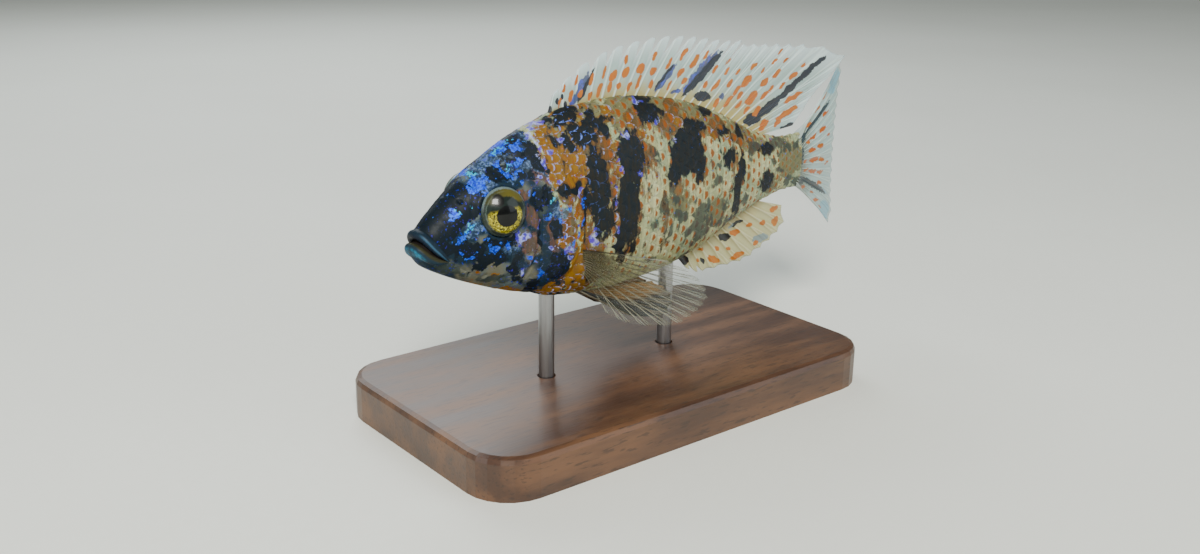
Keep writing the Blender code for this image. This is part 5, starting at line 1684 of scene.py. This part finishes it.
def woodMaterial():
    n = Nodes("stand wood")
    c = standColours
    rings = n.noise(*standGrain["rings"])
    pores = n.noise(*standGrain["pores"])
    colour = n.mix(n.step(rings, 0.35, 0.68), c["woodDark"], c["woodPale"])
    colour = n.mix(n.step(pores, 0.56, 0.68, 0.0, 0.6), colour, c["woodPore"])
    n.bump(n.plus(n.times(pores, 0.7), rings), 0.25, 0.0002)
    shine = n.step(rings, 0.3, 0.7, 0.38, 0.5)
    return n.set(Base_Color=colour, Roughness=shine, Coat_Weight=0.25, Coat_Roughness=0.3)


def steelMaterial():
    n = Nodes("stand steel")
    scratches = n.noise(*standGrain["scratches"])
    colour = n.mix(scratches, standColours["steelDark"], standColours["steelPale"])
    n.bump(scratches, 0.08, 0.0001)
    return n.set(Base_Color=colour, Metallic=1.0, Roughness=n.step(scratches, 0.3, 0.7, 0.28, 0.42))


def floorMaterial():
    n = Nodes("floor")
    fine = n.noise(*standGrain["floorFine"])
    broad = n.noise(*standGrain["floorBroad"])
    colour = n.mix(broad, standColours["floorDark"], standColours["floorPale"])
    n.bump(fine, 0.08, 0.0004)
    return n.set(Base_Color=colour, Roughness=n.step(fine, 0.3, 0.7, 0.55, 0.7))


def dress(piece, material, slot, *nodes):
    piece.data.materials.clear()
    piece.data.materials.append(material)
    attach(piece, "root")
    if nodes:
        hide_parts(*nodes)


dress(makeSkin(), skinMaterial("fish skin", False), "skin", "head", "torso", "tail")
print("skin done")
scaleMaterial = skinMaterial("fish scales", True)
for label, isLeft in (("scales_left", True), ("scales_right", False)):
    dress(makeScales(label, isLeft), scaleMaterial, "skin")
eyeFinish = eyeMaterial("fish eye")
dress(makeEye("eyeball_left", -1.0), eyeFinish, "eye", "eye_left")
dress(makeEye("eyeball_right", 1.0), eyeFinish, "eye", "eye_right")
print("eyes done")
sails = [("dorsal", dorsalPlace, ""), ("anal", analPlace, ""), ("caudal", caudalPlace, "")]
for side, suffix in ((-1.0, "_left"), (1.0, "_right")):
    sails += [("pectoral", pectoralPlace(side), suffix), ("pelvic", pelvicPlace(side), suffix)]
finFinish = {kind: finMaterial(kind + " finish", kind) for kind in finShapes}
for kind, place, suffix in sails:
    sail = makeFin(kind + "_sail" + suffix, place, kind)
    dress(sail, finFinish[kind], finShapes[kind]["slot"], kind + "_fin" + suffix)
print("fins done")

wood, steel = woodMaterial(), steelMaterial()
for node, material in (("stand_base", wood), ("stand_rod_front", steel), ("stand_rod_rear", steel)):
    bpy.data.objects[node].data.materials.clear()
    bpy.data.objects[node].data.materials.append(material)

studio = {"floorSize": 3.0, "aim": (0.0, 0.0, 0.04), "air": (0.86, 0.93, 0.9, 1.0), "airStrength": 0.26}
bm = bmesh.new()
bmesh.ops.create_grid(bm, x_segments=1, y_segments=1, size=studio["floorSize"])
floorMesh = bpy.data.meshes.new("floor")
bm.to_mesh(floorMesh)
bm.free()
floor = newObject("floor", floorMesh)
floor.data.materials.append(floorMaterial())

photoSize = (1200, 554)
view = {
    "lens": 1250.0,  # the focal length in the photo's pixels
    "yaw": 39.02, "elevation": 18.16, "roll": 0.77,  # degrees
    "across": -5.97, "up": 13.49, "away": 232.28,  # of the fish's middle, in mm from the lens
}


def placeCamera():
    yaw, elevation, roll = (math.radians(view[key]) for key in ("yaw", "elevation", "roll"))
    level = math.cos(elevation)
    look = Vector((math.sin(yaw) * level, math.cos(yaw) * level, -math.sin(elevation)))
    right = look.cross(Vector((0.0, 0.0, 1.0))).normalized()
    up = right.cross(look)
    turnedRight = math.cos(roll) * right + math.sin(roll) * up
    turnedUp = math.cos(roll) * up - math.sin(roll) * right
    start = Vector((body["spineOffset"], 0.0, body["spineHeight"]))
    place = start - view["across"] * turnedRight - view["up"] * turnedUp - view["away"] * look
    data = bpy.data.cameras.new("camera")
    data.sensor_width = 36.0
    data.lens = view["lens"] * data.sensor_width / photoSize[0]
    data.clip_start = 0.01
    camera = bpy.data.objects.new("camera", data)
    bpy.context.scene.collection.objects.link(camera)
    turn = Matrix((turnedRight, turnedUp, -look)).transposed().to_4x4()
    camera.matrix_world = Matrix.Translation(place * mm) @ turn
    bpy.context.scene.camera = camera


placeCamera()

lights = {  # place, size, strength and colour, all aimed at the fish
    "key": ((-0.3, -0.4, 0.5), 0.22, 6.6, (1.0, 0.97, 0.9)),
    "fill": ((0.4, -0.55, 0.3), 0.5, 1.5, (0.88, 0.95, 1.0)),
    "back": ((0.15, 0.5, 0.45), 0.4, 2.6, (0.92, 0.98, 1.0)),
    "snout": ((-0.6, 0.1, 0.2), 0.3, 0.7, (1.0, 1.0, 1.0)),
}
for name, (place, size, power, colour) in lights.items():
    data = bpy.data.lights.new(name, "AREA")
    data.size = size
    data.energy = power
    data.color = colour
    lamp = bpy.data.objects.new(name, data)
    bpy.context.scene.collection.objects.link(lamp)
    aim = Vector(studio["aim"]) - Vector(place)
    lamp.matrix_world = Matrix.Translation(Vector(place)) @ aim.to_track_quat("-Z", "Y").to_matrix().to_4x4()
world = bpy.data.worlds.new("studio")
bpy.context.scene.world = world
world.use_nodes = True
backdrop = world.node_tree.nodes["Background"]
backdrop.inputs["Color"].default_value = studio["air"]
backdrop.inputs["Strength"].default_value = studio["airStrength"]
